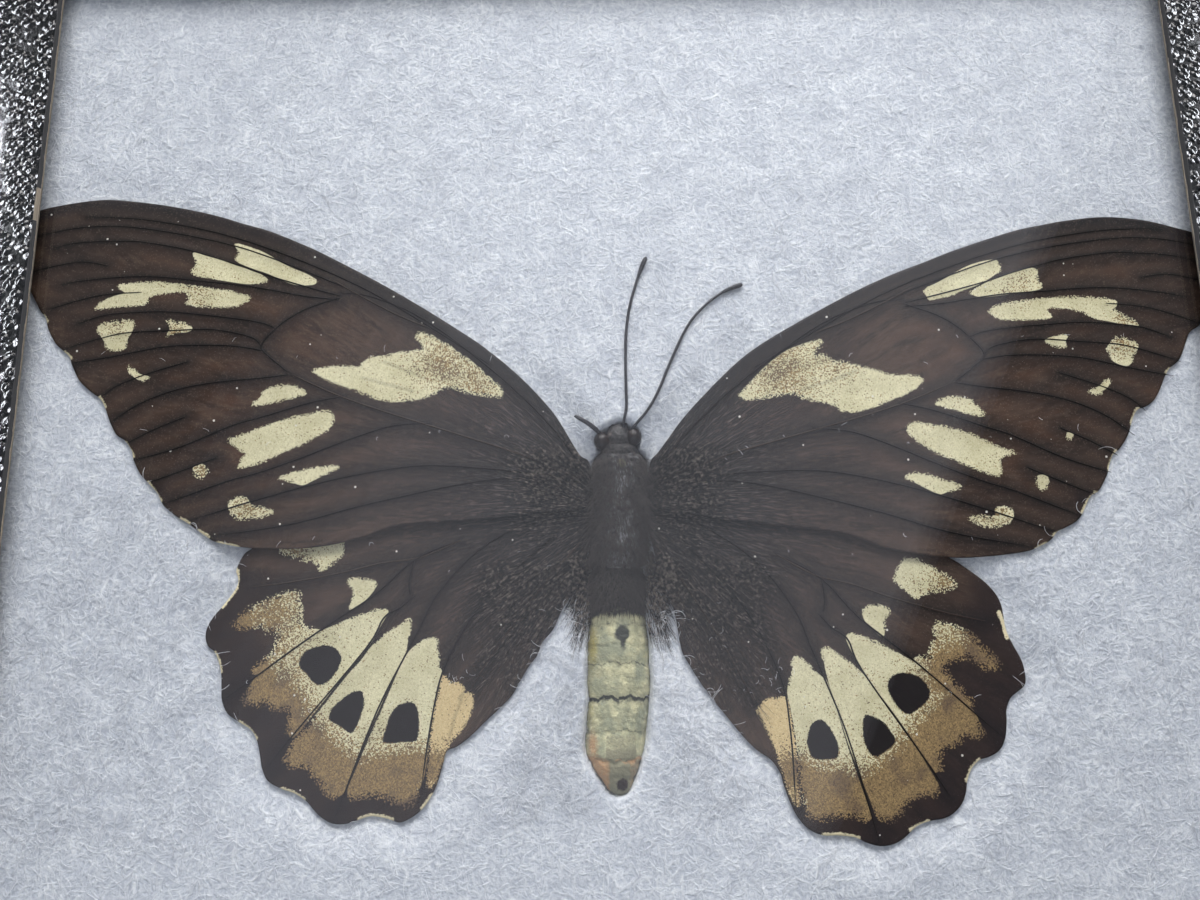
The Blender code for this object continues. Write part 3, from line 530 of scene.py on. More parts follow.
# %% The left hindwing, in millimetres
HINDWING_LEFT = {
    "front": [(-4.4, 2), (-20, 2), (-35, 0), (-48, -3), (-54, -5), (-56.3, -6.5)],
    "margin": [(-57.2, -7.2), (-58, -8.7), (-58.3, -9.8), (-57.9, -10.9), (-58, -12.1), (-58.9, -13.6),
               (-60.1, -15.2),
               (-61.3, -16.7), (-62.1, -18.3), (-62.2, -19.8), (-61.7, -21), (-60.7, -21.8), (-60, -23.2),
               (-59.5, -24.9), (-59.3, -27), (-59.1, -28.8), (-58.2, -30.7), (-56.3, -32), (-54.6, -33),
               (-53.6, -34.5), (-53, -36.7), (-52.6, -38.5), (-51.6, -40.3), (-49.5, -41.4), (-47.7, -42),
               (-45.9, -43.1), (-44.8, -44.3), (-43.6, -45.4), (-42, -46.2), (-40.1, -46.3), (-38.3, -45.8),
               (-36.5, -45.3), (-34.7, -45.5), (-33.3, -45.9)],
    "rear": [(-32.1, -46.2), (-30.6, -45.6), (-29.1, -44.5), (-27.7, -42.6), (-26.8, -40.6), (-26.1, -38),
             (-25.6, -36.4), (-24, -35.7), (-22, -34.2), (-20, -32.3), (-18, -30.5), (-16.2, -28.7), (-15, -26.7),
             (-13.7, -24.5), (-12.3, -22.7), (-11.7, -21), (-10, -19), (-8.7, -16.2), (-7.2, -13.8), (-6.3, -12.3),
             (-4.9, -8)],
    "patches": [
        [(-51.6, -6.7), (-49.5, -5.2), (-45, -4.4), (-42.5, -5.2), (-42.2, -6.5), (-42.3, -7.4), (-43.3, -8.3),
         (-45.2, -9.8), (-45.7, -8.9), (-47.1, -8.3), (-49.5, -7.6)],
        [(-35, -16), (-36.5, -15.9), (-38.3, -16.5), (-40.3, -17.1), (-42.4, -18), (-44.8, -19), (-47.1, -20.6),
         (-49.5, -22.2), (-52.1, -23.9), (-54.2, -25.6), (-55.2, -27.3), (-55.5, -28.9), (-54, -29.1),
         (-52.1, -29.1), (-51.2, -30.1), (-49.9, -29.9), (-48.9, -30.5), (-48.8, -32.3), (-48.7, -34),
         (-48, -33.9), (-46.5, -32.1), (-44.8, -29.9), (-42.7, -27.2), (-40.9, -24.8), (-39.3, -23), (-38, -21.4),
         (-37, -20), (-36.2, -18.4), (-35.4, -17)],
        [(-27.5, -20.4), (-28.3, -20.2), (-29.4, -20.5), (-30.6, -21.3), (-31.7, -22.4), (-33, -25), (-34.1, -27.7),
         (-35.3, -30.6), (-36.5, -33.4), (-37.7, -36.3), (-38.9, -39.3), (-39.8, -41.6), (-39.5, -42.5),
         (-38.3, -42.5), (-36.2, -42.2), (-34.2, -42.6), (-32.4, -43.4), (-30.9, -43.4), (-29.9, -42),
         (-29.1, -40.4), (-28.7, -38), (-28.4, -35), (-28.1, -32.3), (-27.7, -29.9), (-27, -27), (-26.6, -25.1),
         (-27.3, -24.3), (-27.1, -23.3), (-27.4, -22)]],
    "more_patches": [
        [(-41.1, -11.5), (-39.8, -11.2), (-38, -11.4), (-37, -11.9), (-37.4, -13.1), (-38.7, -14.5), (-39.9, -15.4),
         (-40.7, -15.6), (-40.2, -14.2), (-40.2, -12.8)],
        [(-48.5, -13.2), (-50.1, -13.2), (-52.1, -13.9), (-54.2, -14.8), (-56.3, -16.1), (-57.9, -18), (-56, -18.1),
         (-53.7, -17.9), (-53, -18.7), (-51, -18.8), (-51.3, -20.7), (-52.1, -22.4), (-53.3, -23.5), (-54.6, -24.6),
         (-54.1, -25), (-51.8, -23.3), (-49.5, -21.6), (-47.1, -20), (-45.1, -18.9), (-45.9, -18.7), (-47.3, -18.4),
         (-48, -17.6), (-48.1, -15.8), (-48.6, -14.6)],
        [(-31.6, -17.5), (-33, -18.2), (-34.4, -19), (-35.9, -20.3), (-37.2, -21.4), (-38.6, -23.3), (-40.4, -25.3),
         (-42.2, -27.6), (-44.2, -30.2), (-46.2, -32.9), (-48, -34.6), (-48.8, -36), (-49, -37.4), (-48.2, -38.1),
         (-45.9, -38.2), (-45, -39.4), (-43.9, -40.4), (-43, -41.8), (-42, -42.4), (-40.8, -42.2), (-40.1, -41),
         (-39.4, -39), (-38.3, -36), (-37.1, -33), (-35.9, -30.4), (-34.7, -27.5), (-33.5, -24.8), (-32.2, -22.4),
         (-31.9, -20.5), (-31.5, -18.7)]],
    "peach": [
        [(-26.4, -25.6), (-25.3, -26.5), (-24.1, -26.7), (-23.1, -27.5), (-23.3, -28.2), (-22.3, -28.1),
         (-21.8, -28.7), (-22, -30.3), (-22.7, -32.3), (-24, -34), (-25.3, -35.4), (-26.2, -38), (-27.2, -40.8),
         (-28.3, -41.5), (-28.3, -38), (-28, -34.5), (-27.6, -31), (-27, -28.2)]],
    "spots": [
        [(-45.1, -21.1), (-43.6, -21), (-42.3, -21.7), (-41.6, -22.9), (-42, -24.3), (-43, -25.8), (-44.2, -26.7),
         (-45.4, -26.6), (-46.5, -25.4), (-47.7, -24.3), (-47.9, -23.2), (-47, -21.8)],
        [(-39.3, -27.7), (-38.3, -27.9), (-38, -29.4), (-38.3, -30.9), (-38.9, -32.6), (-39.6, -33.6),
         (-40.4, -33.4), (-41.8, -32.5), (-43, -31.8), (-43, -30.7), (-42.1, -29.5), (-40.6, -28.3)],
        [(-32.4, -29.6), (-31.1, -29.3), (-30.2, -30.1), (-29.8, -31.7), (-29.8, -33.5), (-30.2, -34.9),
         (-32.1, -35), (-34, -35.2), (-35.1, -34.8), (-34.7, -33.2), (-34.2, -31.4), (-33.3, -30.1)]],
    "fringe": [[(-58.2, -9.6), (-58, -10.9), (-58.1, -12.4)], [(-58.4, -12.9), (-60, -15.1)],
               [(-60.7, -21.9), (-60, -23.2), (-59.6, -24.7)], [(-56.3, -32), (-54.8, -33), (-53.8, -34.2)],
               [(-49.5, -41.4), (-47.7, -42), (-46.3, -42.9)],
               [(-38.1, -45.7), (-36.5, -45.2), (-34.7, -45.4), (-33.3, -45.8)], [(-29, -44.4), (-27.6, -42.5)]],
    "gold": [(-52.5, -17, 6, 0.8), (-49.8, -6.3, 2.5, 0.7), (-51, -27.5, 4.5, 0.8), (-48, -30.5, 3, 0.6),
             (-44.5, -37, 4, 0.85), (-42, -40, 3, 0.8), (-36, -39.5, 4.5, 0.85), (-33, -41.5, 3.5, 1.0),
             (-30.5, -38, 2.5, 0.6), (-27.3, -38.5, 2.6, 1.0), (-36.5, -44.3, 2, 0.7)],
    "brown": [(-45, -40, 12, 0.5), (-56, -25, 8, 0.5)],
    "gold_rim": (-20, -5, 33.5, 39),
    "fold_shade_lines": [[(-22, -31), (-15, -22), (-8, -14)], [(-24, -29), (-17, -20), (-9, -11)],
              [(-23.3, -28.2), (-24.5, -31.5), (-25.4, -35)]],
}
HINDWING_LEFT_VEINS = [
    [(-24, -5.4), (-31, -8.3), (-37, -13.6), (-45.2, -18.9), (-54.2, -25.4), (-58.5, -28.5)],
    [(-31, -13.7), (-33, -15.5), (-35.5, -17), (-38, -21.5), (-48.4, -34), (-51.5, -38)],
    [(-8, 0), (-20, -6), (-27, -13), (-30, -18.5), (-31.8, -22), (-36, -30.5), (-40.5, -42.5), (-41.5, -45.3)],
    [(-10, -5), (-19, -13), (-24, -20), (-26.5, -25.2), (-27.6, -30), (-28.4, -35), (-29.2, -41.5)],
    [(-31.1, -8.4), (-31.8, -11.5), (-31.6, -13.5)]]
HINDWING_LEFT_PALE_VEINS = [
    [(-24, -5.4), (-28, -7.2), (-31, -8.2), (-36, -8.8), (-42, -10.2), (-50, -11.6), (-56, -12.2)],
    [(-6, -6), (-12, -13), (-18, -21), (-22.5, -28)]]

# %% The right hindwing, in millimetres
HINDWING_RIGHT = {
    "front": [(5.4, 2), (20, 0.4), (35, -3), (45, -6.4), (50.6, -9)],
    "margin": [(53, -10.6), (55.5, -12.6), (57, -14.4), (57.7, -16), (57.9, -17.5), (58, -19), (58.3, -20.5),
               (59, -22.2), (60, -24.4), (60.3, -26.5), (60.1, -27.9), (58.9, -28.9), (57.8, -29.8), (57, -31.5),
               (56.9, -33), (56.4, -35.5), (55.5, -37.1), (54, -38), (52.4, -38.5), (51.2, -39.6), (50.4, -41.2),
               (50, -43), (49.3, -44.5), (48, -45.8), (46.5, -46.5), (44.5, -46.8), (42.5, -47.5), (40.7, -49),
               (39, -49.9), (37, -50.1), (35, -49.6), (33.5, -48.9), (31, -48.6)],
    "rear": [(29, -48.6), (27, -47.8), (25.5, -46.2), (24.4, -44), (23.6, -41.5), (23.2, -40), (22, -38.2),
             (20, -36.8), (18, -34.8), (16, -32.3), (14.3, -30.2), (12, -27), (10.2, -24), (9.3, -22), (8.3, -16),
             (5.8, -8)],
    "patches": [
        [(42, -12), (43.3, -9.6), (44.3, -9.1), (46, -9.5), (48, -10.7), (50.3, -12.2), (51.1, -13.2), (49.5, -13.7),
         (46.5, -14.2), (45, -14.9), (43.3, -13.5)],
        [(34.1, -20.5), (35.5, -20.4), (38, -21.3), (40.5, -22.6), (43.5, -24.3), (45.5, -26), (48, -28.3),
         (50.5, -30.3), (52, -31.5), (52.8, -33.5), (52.8, -35), (50.5, -35), (48.8, -36.2), (46.9, -36.6),
         (46.6, -38.5), (46.3, -39.7), (45.5, -39.8), (44, -37.2), (42, -34), (40, -31), (38, -28.2),
         (36.6, -26.2), (35.3, -23.6), (34.5, -22)],
        [(25.8, -24.2), (26.5, -23.4), (27.5, -24.2), (28.8, -25.4), (30, -26.5), (30.7, -27.2), (31.8, -31),
         (33, -36), (34.3, -40.5), (35.5, -44.5), (36, -46.1), (35.3, -46.4), (33.8, -45.8), (32, -45.7),
         (30.5, -46), (28, -46.1), (27, -45.2), (26.3, -42.5), (26, -39), (25.8, -35), (25.3, -31), (24.9, -28.5),
         (25.5, -26.5), (25.9, -25.5)]],
    "more_patches": [
        [(36.8, -16.7), (38.5, -16.1), (40.7, -16.7), (39.9, -18), (39.6, -20.5), (38.2, -19.4), (37.2, -18.4)],
        [(47.5, -19), (48.5, -18.8), (50.5, -19.5), (52.5, -20.7), (54.5, -22.8), (55.8, -24.2), (56.3, -25),
         (55, -25.3), (53.8, -24.7), (52.4, -23.6), (50.8, -23.7), (49.5, -24.1), (48.2, -24.3), (48.3, -25.5),
         (49.2, -27.2), (50.5, -28.8), (52, -30.8), (50.3, -29.8), (48, -28), (45.5, -25.6), (43.9, -24.1),
         (45, -23.8), (46.3, -23.8), (46.8, -22), (47.5, -20.5)],
        [(30.4, -22.8), (31, -22.3), (33, -23.5), (35, -25), (36.8, -27), (38.8, -30), (41, -33.3), (43.3, -37),
         (45.3, -40.5), (46, -42), (45.6, -42.9), (43.5, -43.1), (42, -43.8), (40.5, -45), (39.2, -46.2),
         (38, -46.4), (36.9, -45.9), (36, -43.5), (34.8, -40), (33.5, -36), (32.3, -31.5), (31.3, -28),
         (30.9, -26), (30.6, -24.5)]],
    "peach": [
        [(20.8, -30.3), (22, -29.4), (23.2, -29.4), (24.5, -29.3), (25, -31), (25.5, -35), (25.7, -39), (25.7, -42),
         (25.9, -44.5), (25, -44), (24, -41.5), (23.2, -38.5), (22.4, -36), (21.2, -33.2), (20.2, -31.2)]],
    "spots": [
        [(39.7, -28), (40.5, -26.4), (42.3, -25.9), (44.5, -26.6), (45.8, -28.2), (45.6, -29.8), (43.8, -31.3),
         (42.3, -31.9), (40.8, -30.6)],
        [(36, -32.1), (36.7, -32), (38.5, -32.8), (39.8, -34.4), (40.3, -35.9), (39, -36.9), (37.5, -37.8),
         (36.3, -37.2), (35.6, -35)],
        [(28.3, -33), (29.5, -32.5), (30.5, -33.2), (31.5, -35), (31.9, -36.5), (31.5, -38), (28.3, -38),
         (27.5, -36.5), (27.4, -35)]],
    "fringe": [[(57.3, -17.2), (57.8, -19), (58.2, -21)], [(52.4, -38.5), (51.2, -39.6), (50.3, -41.3)],
               [(44.2, -46.9), (41.6, -47.9)], [(34, -49), (31.5, -48.5), (29, -48.6)]],
    "gold": [(49.5, -12.8, 2.5, 0.6), (51.5, -23.5, 6, 0.8), (48, -26, 3, 0.6), (48.5, -33, 4.5, 0.85),
             (45, -35, 3, 0.6), (42, -41, 4.5, 0.9), (38.5, -44, 3, 0.9), (29, -43, 4.5, 1.0), (33, -43, 3.5, 0.9),
             (25, -39.5, 2.5, 1.0)],
    "brown": [(45, -42, 12, 0.5), (55, -28, 8, 0.5), (8, -13, 2.5, 1.0)],
    "gold_rim": (17, -8, 33.5, 39),
    "fold_shade_lines": [[(8, -13), (14, -22), (20, -30)], [(9, -10), (17, -19), (23, -28)], [(20, -30.5), (22.2, -36)]],
}


# %% [markdown]
# The given points lie a few millimetres apart, so a smooth curve is run through them. Everything else that
# the pattern needs is a distance: how far each point of the wing is from a patch's edge, a vein or a dash of
# fringe. A distance changes evenly between the points of a mesh, so an edge drawn from it stays sharp.

# %% Curves and distances
def smooth(line, closed=False, steps=4):
    """A smooth curve through points, as a run of short straight pieces."""
    here = np.asarray(line, float)
    if closed:
        before, after, later = (np.roll(here, shift, axis=0) for shift in (1, -1, -2))
    else:
        before = np.vstack([here[:1], here[:-2]])
        after = here[1:]
        later = np.vstack([here[2:], here[-1:]])
        here = here[:-1]
    pieces = []
    for t in np.arange(steps) / steps:
        pieces.append(0.5 * (2 * here + (after - before) * t + (2 * before - 5 * here + 4 * after - later) * t ** 2
                             + (3 * here - before - 3 * after + later) * t ** 3))
    curve = np.stack(pieces, axis=1).reshape(-1, here.shape[1])
    return curve if closed else np.vstack([curve, np.asarray(line, float)[-1:]])


def distance_to(points, line, closed=False):
    """How far points are from a line, and the nearest place on it."""
    starts = np.asarray(line, float)
    ends = np.roll(starts, -1, axis=0) if closed else starts[1:]
    best = np.full(len(points), 1e9)
    nearest = np.zeros((len(points), 2))
    for start, end in zip(starts, ends):
        run = end - start
        share = np.clip((points - start) @ run / max(run @ run, 1e-9), 0, 1)
        place = start + share[:, None] * run
        gap = np.hypot(points[:, 0] - place[:, 0], points[:, 1] - place[:, 1])
        closer = gap < best
        best[closer] = gap[closer]
        nearest[closer] = place[closer]
    return best, nearest


def depth_inside(points, ring):
    """How deep points lie inside a closed outline, in its units, and less than zero outside it."""
    ring = np.asarray(ring, float)
    crossings = np.zeros(len(points), int)
    for (ax, ay), (bx, by) in zip(ring, np.roll(ring, -1, axis=0)):
        if ay != by:
            spans = (ay > points[:, 1]) != (by > points[:, 1])
            crossings += spans & (points[:, 0] < ax + (points[:, 1] - ay) * (bx - ax) / (by - ay))
    return np.where(crossings % 2 == 1, 1, -1) * distance_to(points, ring, closed=True)[0]


def deepest(points, rings):
    """How deep points lie inside the nearest of several smoothed outlines."""
    depth = np.full(len(points), -9.0)
    for ring in rings:
        depth = np.maximum(depth, depth_inside(points, smooth(ring, closed=True, steps=3)))
    return depth


def nearest_line(points, lines, limit=9.0):
    """How far points are from the nearest of several lines."""
    gap = np.full(len(points), limit)
    for line in lines:
        gap = np.minimum(gap, distance_to(points, line)[0])
    return gap


def ease_up(value, start, end):
    """0 below start, 1 past end, and a smooth rise between."""
    share = np.clip((value - start) / (end - start), 0, 1)
    return share * share * (3 - 2 * share)


def blobs(points, places):
    """A soft sum of round clouds, each (x, y, radius, strength), that never passes 1."""
    cloud = np.zeros(len(points))
    for x, y, radius, strength in places:
        cloud += strength * np.exp(-((points[:, 0] - x) ** 2 + (points[:, 1] - y) ** 2) / radius ** 2)
    return np.minimum(cloud, 1.0)


def mirrored(lines, turn):
    """Lines of the left side carried over to the right one, turned about the body by some degrees."""
    cosine, sine = math.cos(math.radians(turn)), math.sin(math.radians(turn))
    carried = []
    for line in lines:
        carried.append([(0.5 + cosine * (0.5 - x) - sine * (y - 1), 1 + sine * (0.5 - x) + cosine * (y - 1))
                        for x, y in line])
    return carried


def outline(wing):
    return wing["front"] + wing["margin"] + wing["rear"]


def read_places(mesh):
    """All the mesh's points as an array, in metres."""
    flat = np.empty(len(mesh.vertices) * 3)
    mesh.vertices.foreach_get("co", flat)
    return flat.reshape(-1, 3)


def write_places(mesh, places):
    mesh.vertices.foreach_set("co", np.ascontiguousarray(places, float).ravel())
    mesh.update()


def keep_values(mesh, **values):
    """Stores one number per point under each name, for a material to read."""
    for name, numbers in values.items():
        mesh.attributes.new(name, "FLOAT", "POINT").data.foreach_set("value", np.asarray(numbers, np.float32))


print("left forewing outline", len(outline(FOREWING_LEFT)), "points read,", len(smooth(outline(FOREWING_LEFT), True)),
      "after smoothing")

# %% [markdown]
# Each wing starts as a fine flat grid. The points outside the outline are deleted, and those of the new border
# are drawn onto the outline. Then the sheet takes its relief: it dips towards the body at its root, stands up
# in a low ridge along each vein and sags a little between them, as a film does that dried stretched.

# %% A wing sheet
ROOT_DROP = 2.4
ROOT_X = 4.4
ROOT_DROP_REACH = 6.0
WING_THICKNESS = 0.16 * MM
BODY_MIDDLE = np.array([0.5, 1.0])
# A ring past which the scales turn gold, as x, y, start and end; this one lies past every wing
NO_RIM = (0, 0, 500, 501)
RIM_GOLD = 0.97
FAR_FROM_COSTA = 20.0
FRINGE_HALF_WIDTH = 0.32


def root_drop(x):
    """How far a wing is drawn down towards the body, in millimetres."""
    return ROOT_DROP * np.exp(-np.maximum(np.abs(x) - ROOT_X, 0) / ROOT_DROP_REACH)


def wing_height(points, level, veins):
    """The height of the middle of a wing's film, in millimetres."""
    gap = nearest_line(points, veins)
    ridge = 0.06 * np.exp(-(gap / 0.7) ** 2) - 0.07 * np.clip(gap / 3.0, 0, 1)
    from_body = points - BODY_MIDDLE
    reach = np.hypot(*from_body.T)
    ray = np.arctan2(from_body[:, 1], np.abs(from_body[:, 0]))
    ripple = 0.035 * np.sin(ray * 42) * np.clip(reach / 30, 0, 1) + 0.03 * np.sin(reach / 3.1 + 5 * ray)
    return level - root_drop(points[:, 0]) + ridge + ripple


def make_wing_sheet(name, wing, level, veins, pitch):
    """A wing's film: a grid cut to its outline, with relief and the distances that its pattern needs."""
    ring = smooth(outline(wing), closed=True)
    low, high = ring.min(axis=0) - 2 * pitch, ring.max(axis=0) + 2 * pitch
    columns, rows = np.ceil((high - low) / pitch).astype(int)
    bpy.ops.object.select_all(action="DESELECT")
    bpy.ops.mesh.primitive_grid_add(x_subdivisions=int(columns), y_subdivisions=int(rows), size=1)
    sheet = bpy.context.object
    sheet.name = name
    places = read_places(sheet.data)
    places[:, :2] = ((low + high) / 2 + places[:, :2] * (high - low)) * MM
    write_places(sheet.data, places)
    outside = depth_inside(places[:, :2] / MM, ring) < -0.5 * pitch
    bpy.ops.object.mode_set(mode="EDIT")
    bpy.ops.mesh.select_mode(type="VERT")
    bpy.ops.mesh.select_all(action="DESELECT")
    bpy.ops.object.mode_set(mode="OBJECT")
    sheet.data.vertices.foreach_set("select", outside)
    bpy.ops.object.mode_set(mode="EDIT")
    bpy.ops.mesh.delete(type="VERT")
    bpy.ops.mesh.select_all(action="SELECT")
    bpy.ops.mesh.delete_loose()
    bpy.ops.mesh.select_all(action="DESELECT")
    bpy.ops.mesh.select_non_manifold(extend=False)
    bpy.ops.object.mode_set(mode="OBJECT")
    border = np.empty(len(sheet.data.vertices), bool)
    sheet.data.vertices.foreach_get("select", border)
    places = read_places(sheet.data) / MM
    places[border, :2] = distance_to(places[border, :2], ring, closed=True)[1]
    points = places[:, :2]
    places[:, 2] = wing_height(points, level, veins)
    write_places(sheet.data, places * MM)
    from_body = points - BODY_MIDDLE
    rim_x, rim_y, rim_start, rim_end = wing.get("gold_rim", NO_RIM)
    gold_rim = ease_up(np.hypot(points[:, 0] - rim_x, points[:, 1] - rim_y), rim_start, rim_end)
    costa = np.full(len(points), FAR_FROM_COSTA)
    if level == FOREWING_LEVEL:
        costa = distance_to(points, smooth(wing["front"]))[0]
    keep_values(sheet.data,
                patch=deepest(points, wing["patches"]), more_patch=deepest(points, wing["more_patches"]),
                peach=deepest(points, wing.get("peach", [])), spot=deepest(points, wing["spots"]),
                fringe=FRINGE_HALF_WIDTH - nearest_line(points, wing["fringe"]), vein=nearest_line(points, veins),
                fold=nearest_line(points, wing["fold_shade_lines"]), costa=costa,
                gold=np.maximum(blobs(points, wing["gold"]), RIM_GOLD * gold_rim), brown=blobs(points, wing["brown"]),
                reach=np.hypot(*from_body.T), ray=np.arctan2(from_body[:, 1], from_body[:, 0]))
    film = sheet.modifiers.new("film", "SOLIDIFY")
    film.thickness = WING_THICKNESS
    film.offset = 0
    apply_all(sheet)
    bpy.ops.object.shade_smooth()
    return sheet


# %% [markdown]
# The wing's colour is all in its scales, flat dusty flakes a tenth of a millimetre long that lie like roof
# tiles. A mosaic of cells, each a little larger than a scale, stands for them, and every cell has random
# numbers of its own. They are why no edge on the wing is clean: at a patch's border pale and dark scales
# mix. A cell's number shifts the stored distance before it decides on a colour, and where gold is stored more of
# the cells are brown. The film has no varnish; dry scales are matt with a soft sheen.

# %% Scaled wing film
SCALE_CELL = 0.16 * MM
wing_scales, tree, shader = new_material("scaled wing film")
place = add(tree, "TexCoord").outputs["Object"]


def stored(name):
    """A number that the wing's mesh keeps under a name."""
    return add(wing_scales.node_tree, "Attribute", attribute_name=name).outputs["Fac"]


def math_node(operation, *values):
    return add(wing_scales.node_tree, "Math", dict(enumerate(values)), operation=operation).outputs["Value"]


def plus(first, second):
    return math_node("ADD", first, second)


def times(first, second):
    return math_node("MULTIPLY", first, second)


def step_up(value, start, end, top=1.0):
    """0 below start, a soft rise, and top past end."""
    ramp = add(wing_scales.node_tree, "MapRange", {"Value": value, "From Min": start, "From Max": end, "To Max": top},
               interpolation_type="SMOOTHSTEP")
    return ramp.outputs["Result"]


def blend(factor, first, second):
    return mix(wing_scales.node_tree, factor, first, second)


mosaic = add(tree, "TexVoronoi", {"Vector": place, "Scale": 1 / SCALE_CELL})
own_numbers = add(tree, "SeparateColor", {"Color": mosaic.outputs["Color"]}).outputs
pick, shade, rare = own_numbers["Red"], own_numbers["Green"], own_numbers["Blue"]
clouds = noise(tree, place, 260.0, 3.0)


def fanned(along, across, detail, roughness=0.5):
    """Noise in streaks that fan out from the wing's root."""
    fan = add(tree, "CombineXYZ", {"X": times(stored("reach"), along), "Y": times(stored("ray"), across)})
    return noise(tree, fan.outputs["Vector"], 1.0, detail, roughness)


streaks = fanned(0.10, 26.0, 4.0, roughness=0.6)
fine_streaks = fanned(0.5, 90.0, 2.0)

# Dark ground: blackish by the body and along the front edge, redder brown outwards, in streaks along the veins
ground = blend(step_up(stored("reach"), 12.0, 55.0), "#201f23", "#4c3a2f")
ground = blend(times(stored("brown"), step_up(clouds, 0.25, 0.7)), ground, "#493122")
ground = blend(step_up(streaks, 0.42, 0.68, 0.6), ground, "#161111")
ground = blend(step_up(fine_streaks, 0.46, 0.70, 0.6), ground, "#57463a")
front_gap = plus(stored("costa"), times(streaks, 1.5))
ground = blend(step_up(front_gap, 3.6, 1.6, 0.8), ground, "#15161b")
# Dark scales line each vein, and painted shade beside each vein's ridge, where the film folds, widens the band
ground = blend(step_up(stored("vein"), 3.2, 0.3, 0.68), ground, "#1a1413")
ground = blend(step_up(stored("vein"), 0.6, 0.1, 0.6), ground, "#0c0a0a")
ground = blend(step_up(rare, 0.86, 0.97, 0.22), ground, "#7d6a58")
rubbed = times(step_up(fine_streaks, 0.56, 0.74, 0.5), step_up(stored("reach"), 34.0, 8.0))
ground = blend(rubbed, ground, "#8b8788")
ground = blend(times(stored("gold"), 0.8), ground, "#1f1719")

# Pale patches, dusted with brown scales where gold is stored. Their edges mix less beside a vein, which bounds them
dust = plus(pick, -0.5)
mixing = times(plus(times(clouds, 1.1), stored("gold")), step_up(stored("vein"), 0.25, 1.2))
brushed = times(plus(fine_streaks, -0.5), 0.6)
patch_depth = plus(math_node("MAXIMUM", stored("patch"), stored("more_patch")), 0.14)
patch_edge = plus(patch_depth, times(plus(brushed, dust), mixing))
cream = blend(shade, "#e8e1bf", "#d0c9a3")
cream = blend(step_up(clouds, 0.35, 0.75, 0.5), cream, "#b9b188")
gilt = plus(plus(stored("gold"), times(streaks, 0.3)), -0.12)
brown_scale = blend(shade, "#a88d60", "#66543f")
brown_scale = blend(step_up(clouds, 0.5, 0.66, 0.6), brown_scale, "#5d4d43")
brown_share = math_node("SUBTRACT", times(gilt, 1.08), pick)
cream = blend(step_up(brown_share, -0.04, 0.04), cream, brown_scale)
cream = blend(step_up(rare, 0.88, 0.92, 0.28), cream, "#8a774d")
colour = blend(step_up(patch_edge, -0.06, 0.06), ground, cream)
peach_edge = plus(stored("peach"), times(dust, 0.5))
peach = blend(step_up(brown_share, -0.04, 0.04), blend(shade, "#e0cb9c", "#cbb183"), brown_scale)
colour = blend(step_up(peach_edge, -0.10, 0.10), colour, peach)
spot_edge = plus(stored("spot"), times(dust, 0.22))
colour = blend(step_up(spot_edge, -0.06, 0.06), colour, "#1a1313")
# Painted shade darkens the film along each fold line
colour = blend(step_up(stored("fold"), 0.40, 0.05, 0.25), colour, "#2b231d")
fringe_edge = plus(stored("fringe"), times(dust, 0.20))
colour = blend(step_up(fringe_edge, -0.08, 0.10), colour, "#e6d9b4")

# Specks of white dust on the scales
specks = add(tree, "TexVoronoi", {"Vector": place, "Scale": 620.0})
speck_pick = add(tree, "SeparateColor", {"Color": specks.outputs["Color"]}).outputs["Red"]
speck_size = times(step_up(speck_pick, 0.76, 1.0), 0.11)
is_speck = math_node("LESS_THAN", specks.outputs["Distance"], speck_size)
colour = blend(is_speck, colour, "#dedad0")
plug(shader, {"Base Color": colour})
tiles = add(tree, "Bump", {"Height": fine_streaks, "Distance": 0.00004, "Strength": 0.6})
plug(shader, {"Normal": tiles.outputs["Normal"], "Roughness": 0.62, "Specular IOR Level": 0.22, "Sheen Weight": 0.06,
              "Sheen Roughness": 0.45, "Sheen Tint": linear("#a08c78")})

# %% The four wings
FOREWING_LEVEL = 15.65
HINDWING_LEVEL = 14.75
FOREWING_PITCH = 0.30
HINDWING_PITCH = 0.26
FOREWING_RIGHT_VEINS = mirrored(FOREWING_LEFT_VEINS, -2.75)
FOREWING_RIGHT_PALE_VEINS = mirrored(FOREWING_LEFT_PALE_VEINS, -2.75)
HINDWING_RIGHT_VEINS = mirrored(HINDWING_LEFT_VEINS, -6.5)
HINDWING_RIGHT_PALE_VEINS = mirrored(HINDWING_LEFT_PALE_VEINS, -6.5)
WINGS = {
    "forewing_left": (FOREWING_LEFT, FOREWING_LEVEL, FOREWING_LEFT_VEINS, FOREWING_LEFT_PALE_VEINS, FOREWING_PITCH),
    "forewing_right": (FOREWING_RIGHT, FOREWING_LEVEL, FOREWING_RIGHT_VEINS, FOREWING_RIGHT_PALE_VEINS,
                       FOREWING_PITCH),
    "hindwing_left": (HINDWING_LEFT, HINDWING_LEVEL, HINDWING_LEFT_VEINS, HINDWING_LEFT_PALE_VEINS, HINDWING_PITCH),
    "hindwing_right": (HINDWING_RIGHT, HINDWING_LEVEL, HINDWING_RIGHT_VEINS, HINDWING_RIGHT_PALE_VEINS,
                       HINDWING_PITCH),
}
for node, (wing, level, veins, pale_veins, pitch) in WINGS.items():
    veins = [smooth(line) for line in veins + pale_veins]
    sheet = make_wing_sheet(f"{node}_film", wing, level, veins, pitch)
    dress(sheet, wing_scales)
    belongs(sheet, "wing", node)


# %% [markdown]
# ## Veins, hairs and fibres
#
# Veins, body hairs and cotton fibres are all the same thing to a modeller: a thin round strand along a path. A
# curve object could be bevelled for each, but thousands of them are quicker as one mesh, whose rings of points
# are laid out by arithmetic and joined by quads, with a cap at each end.

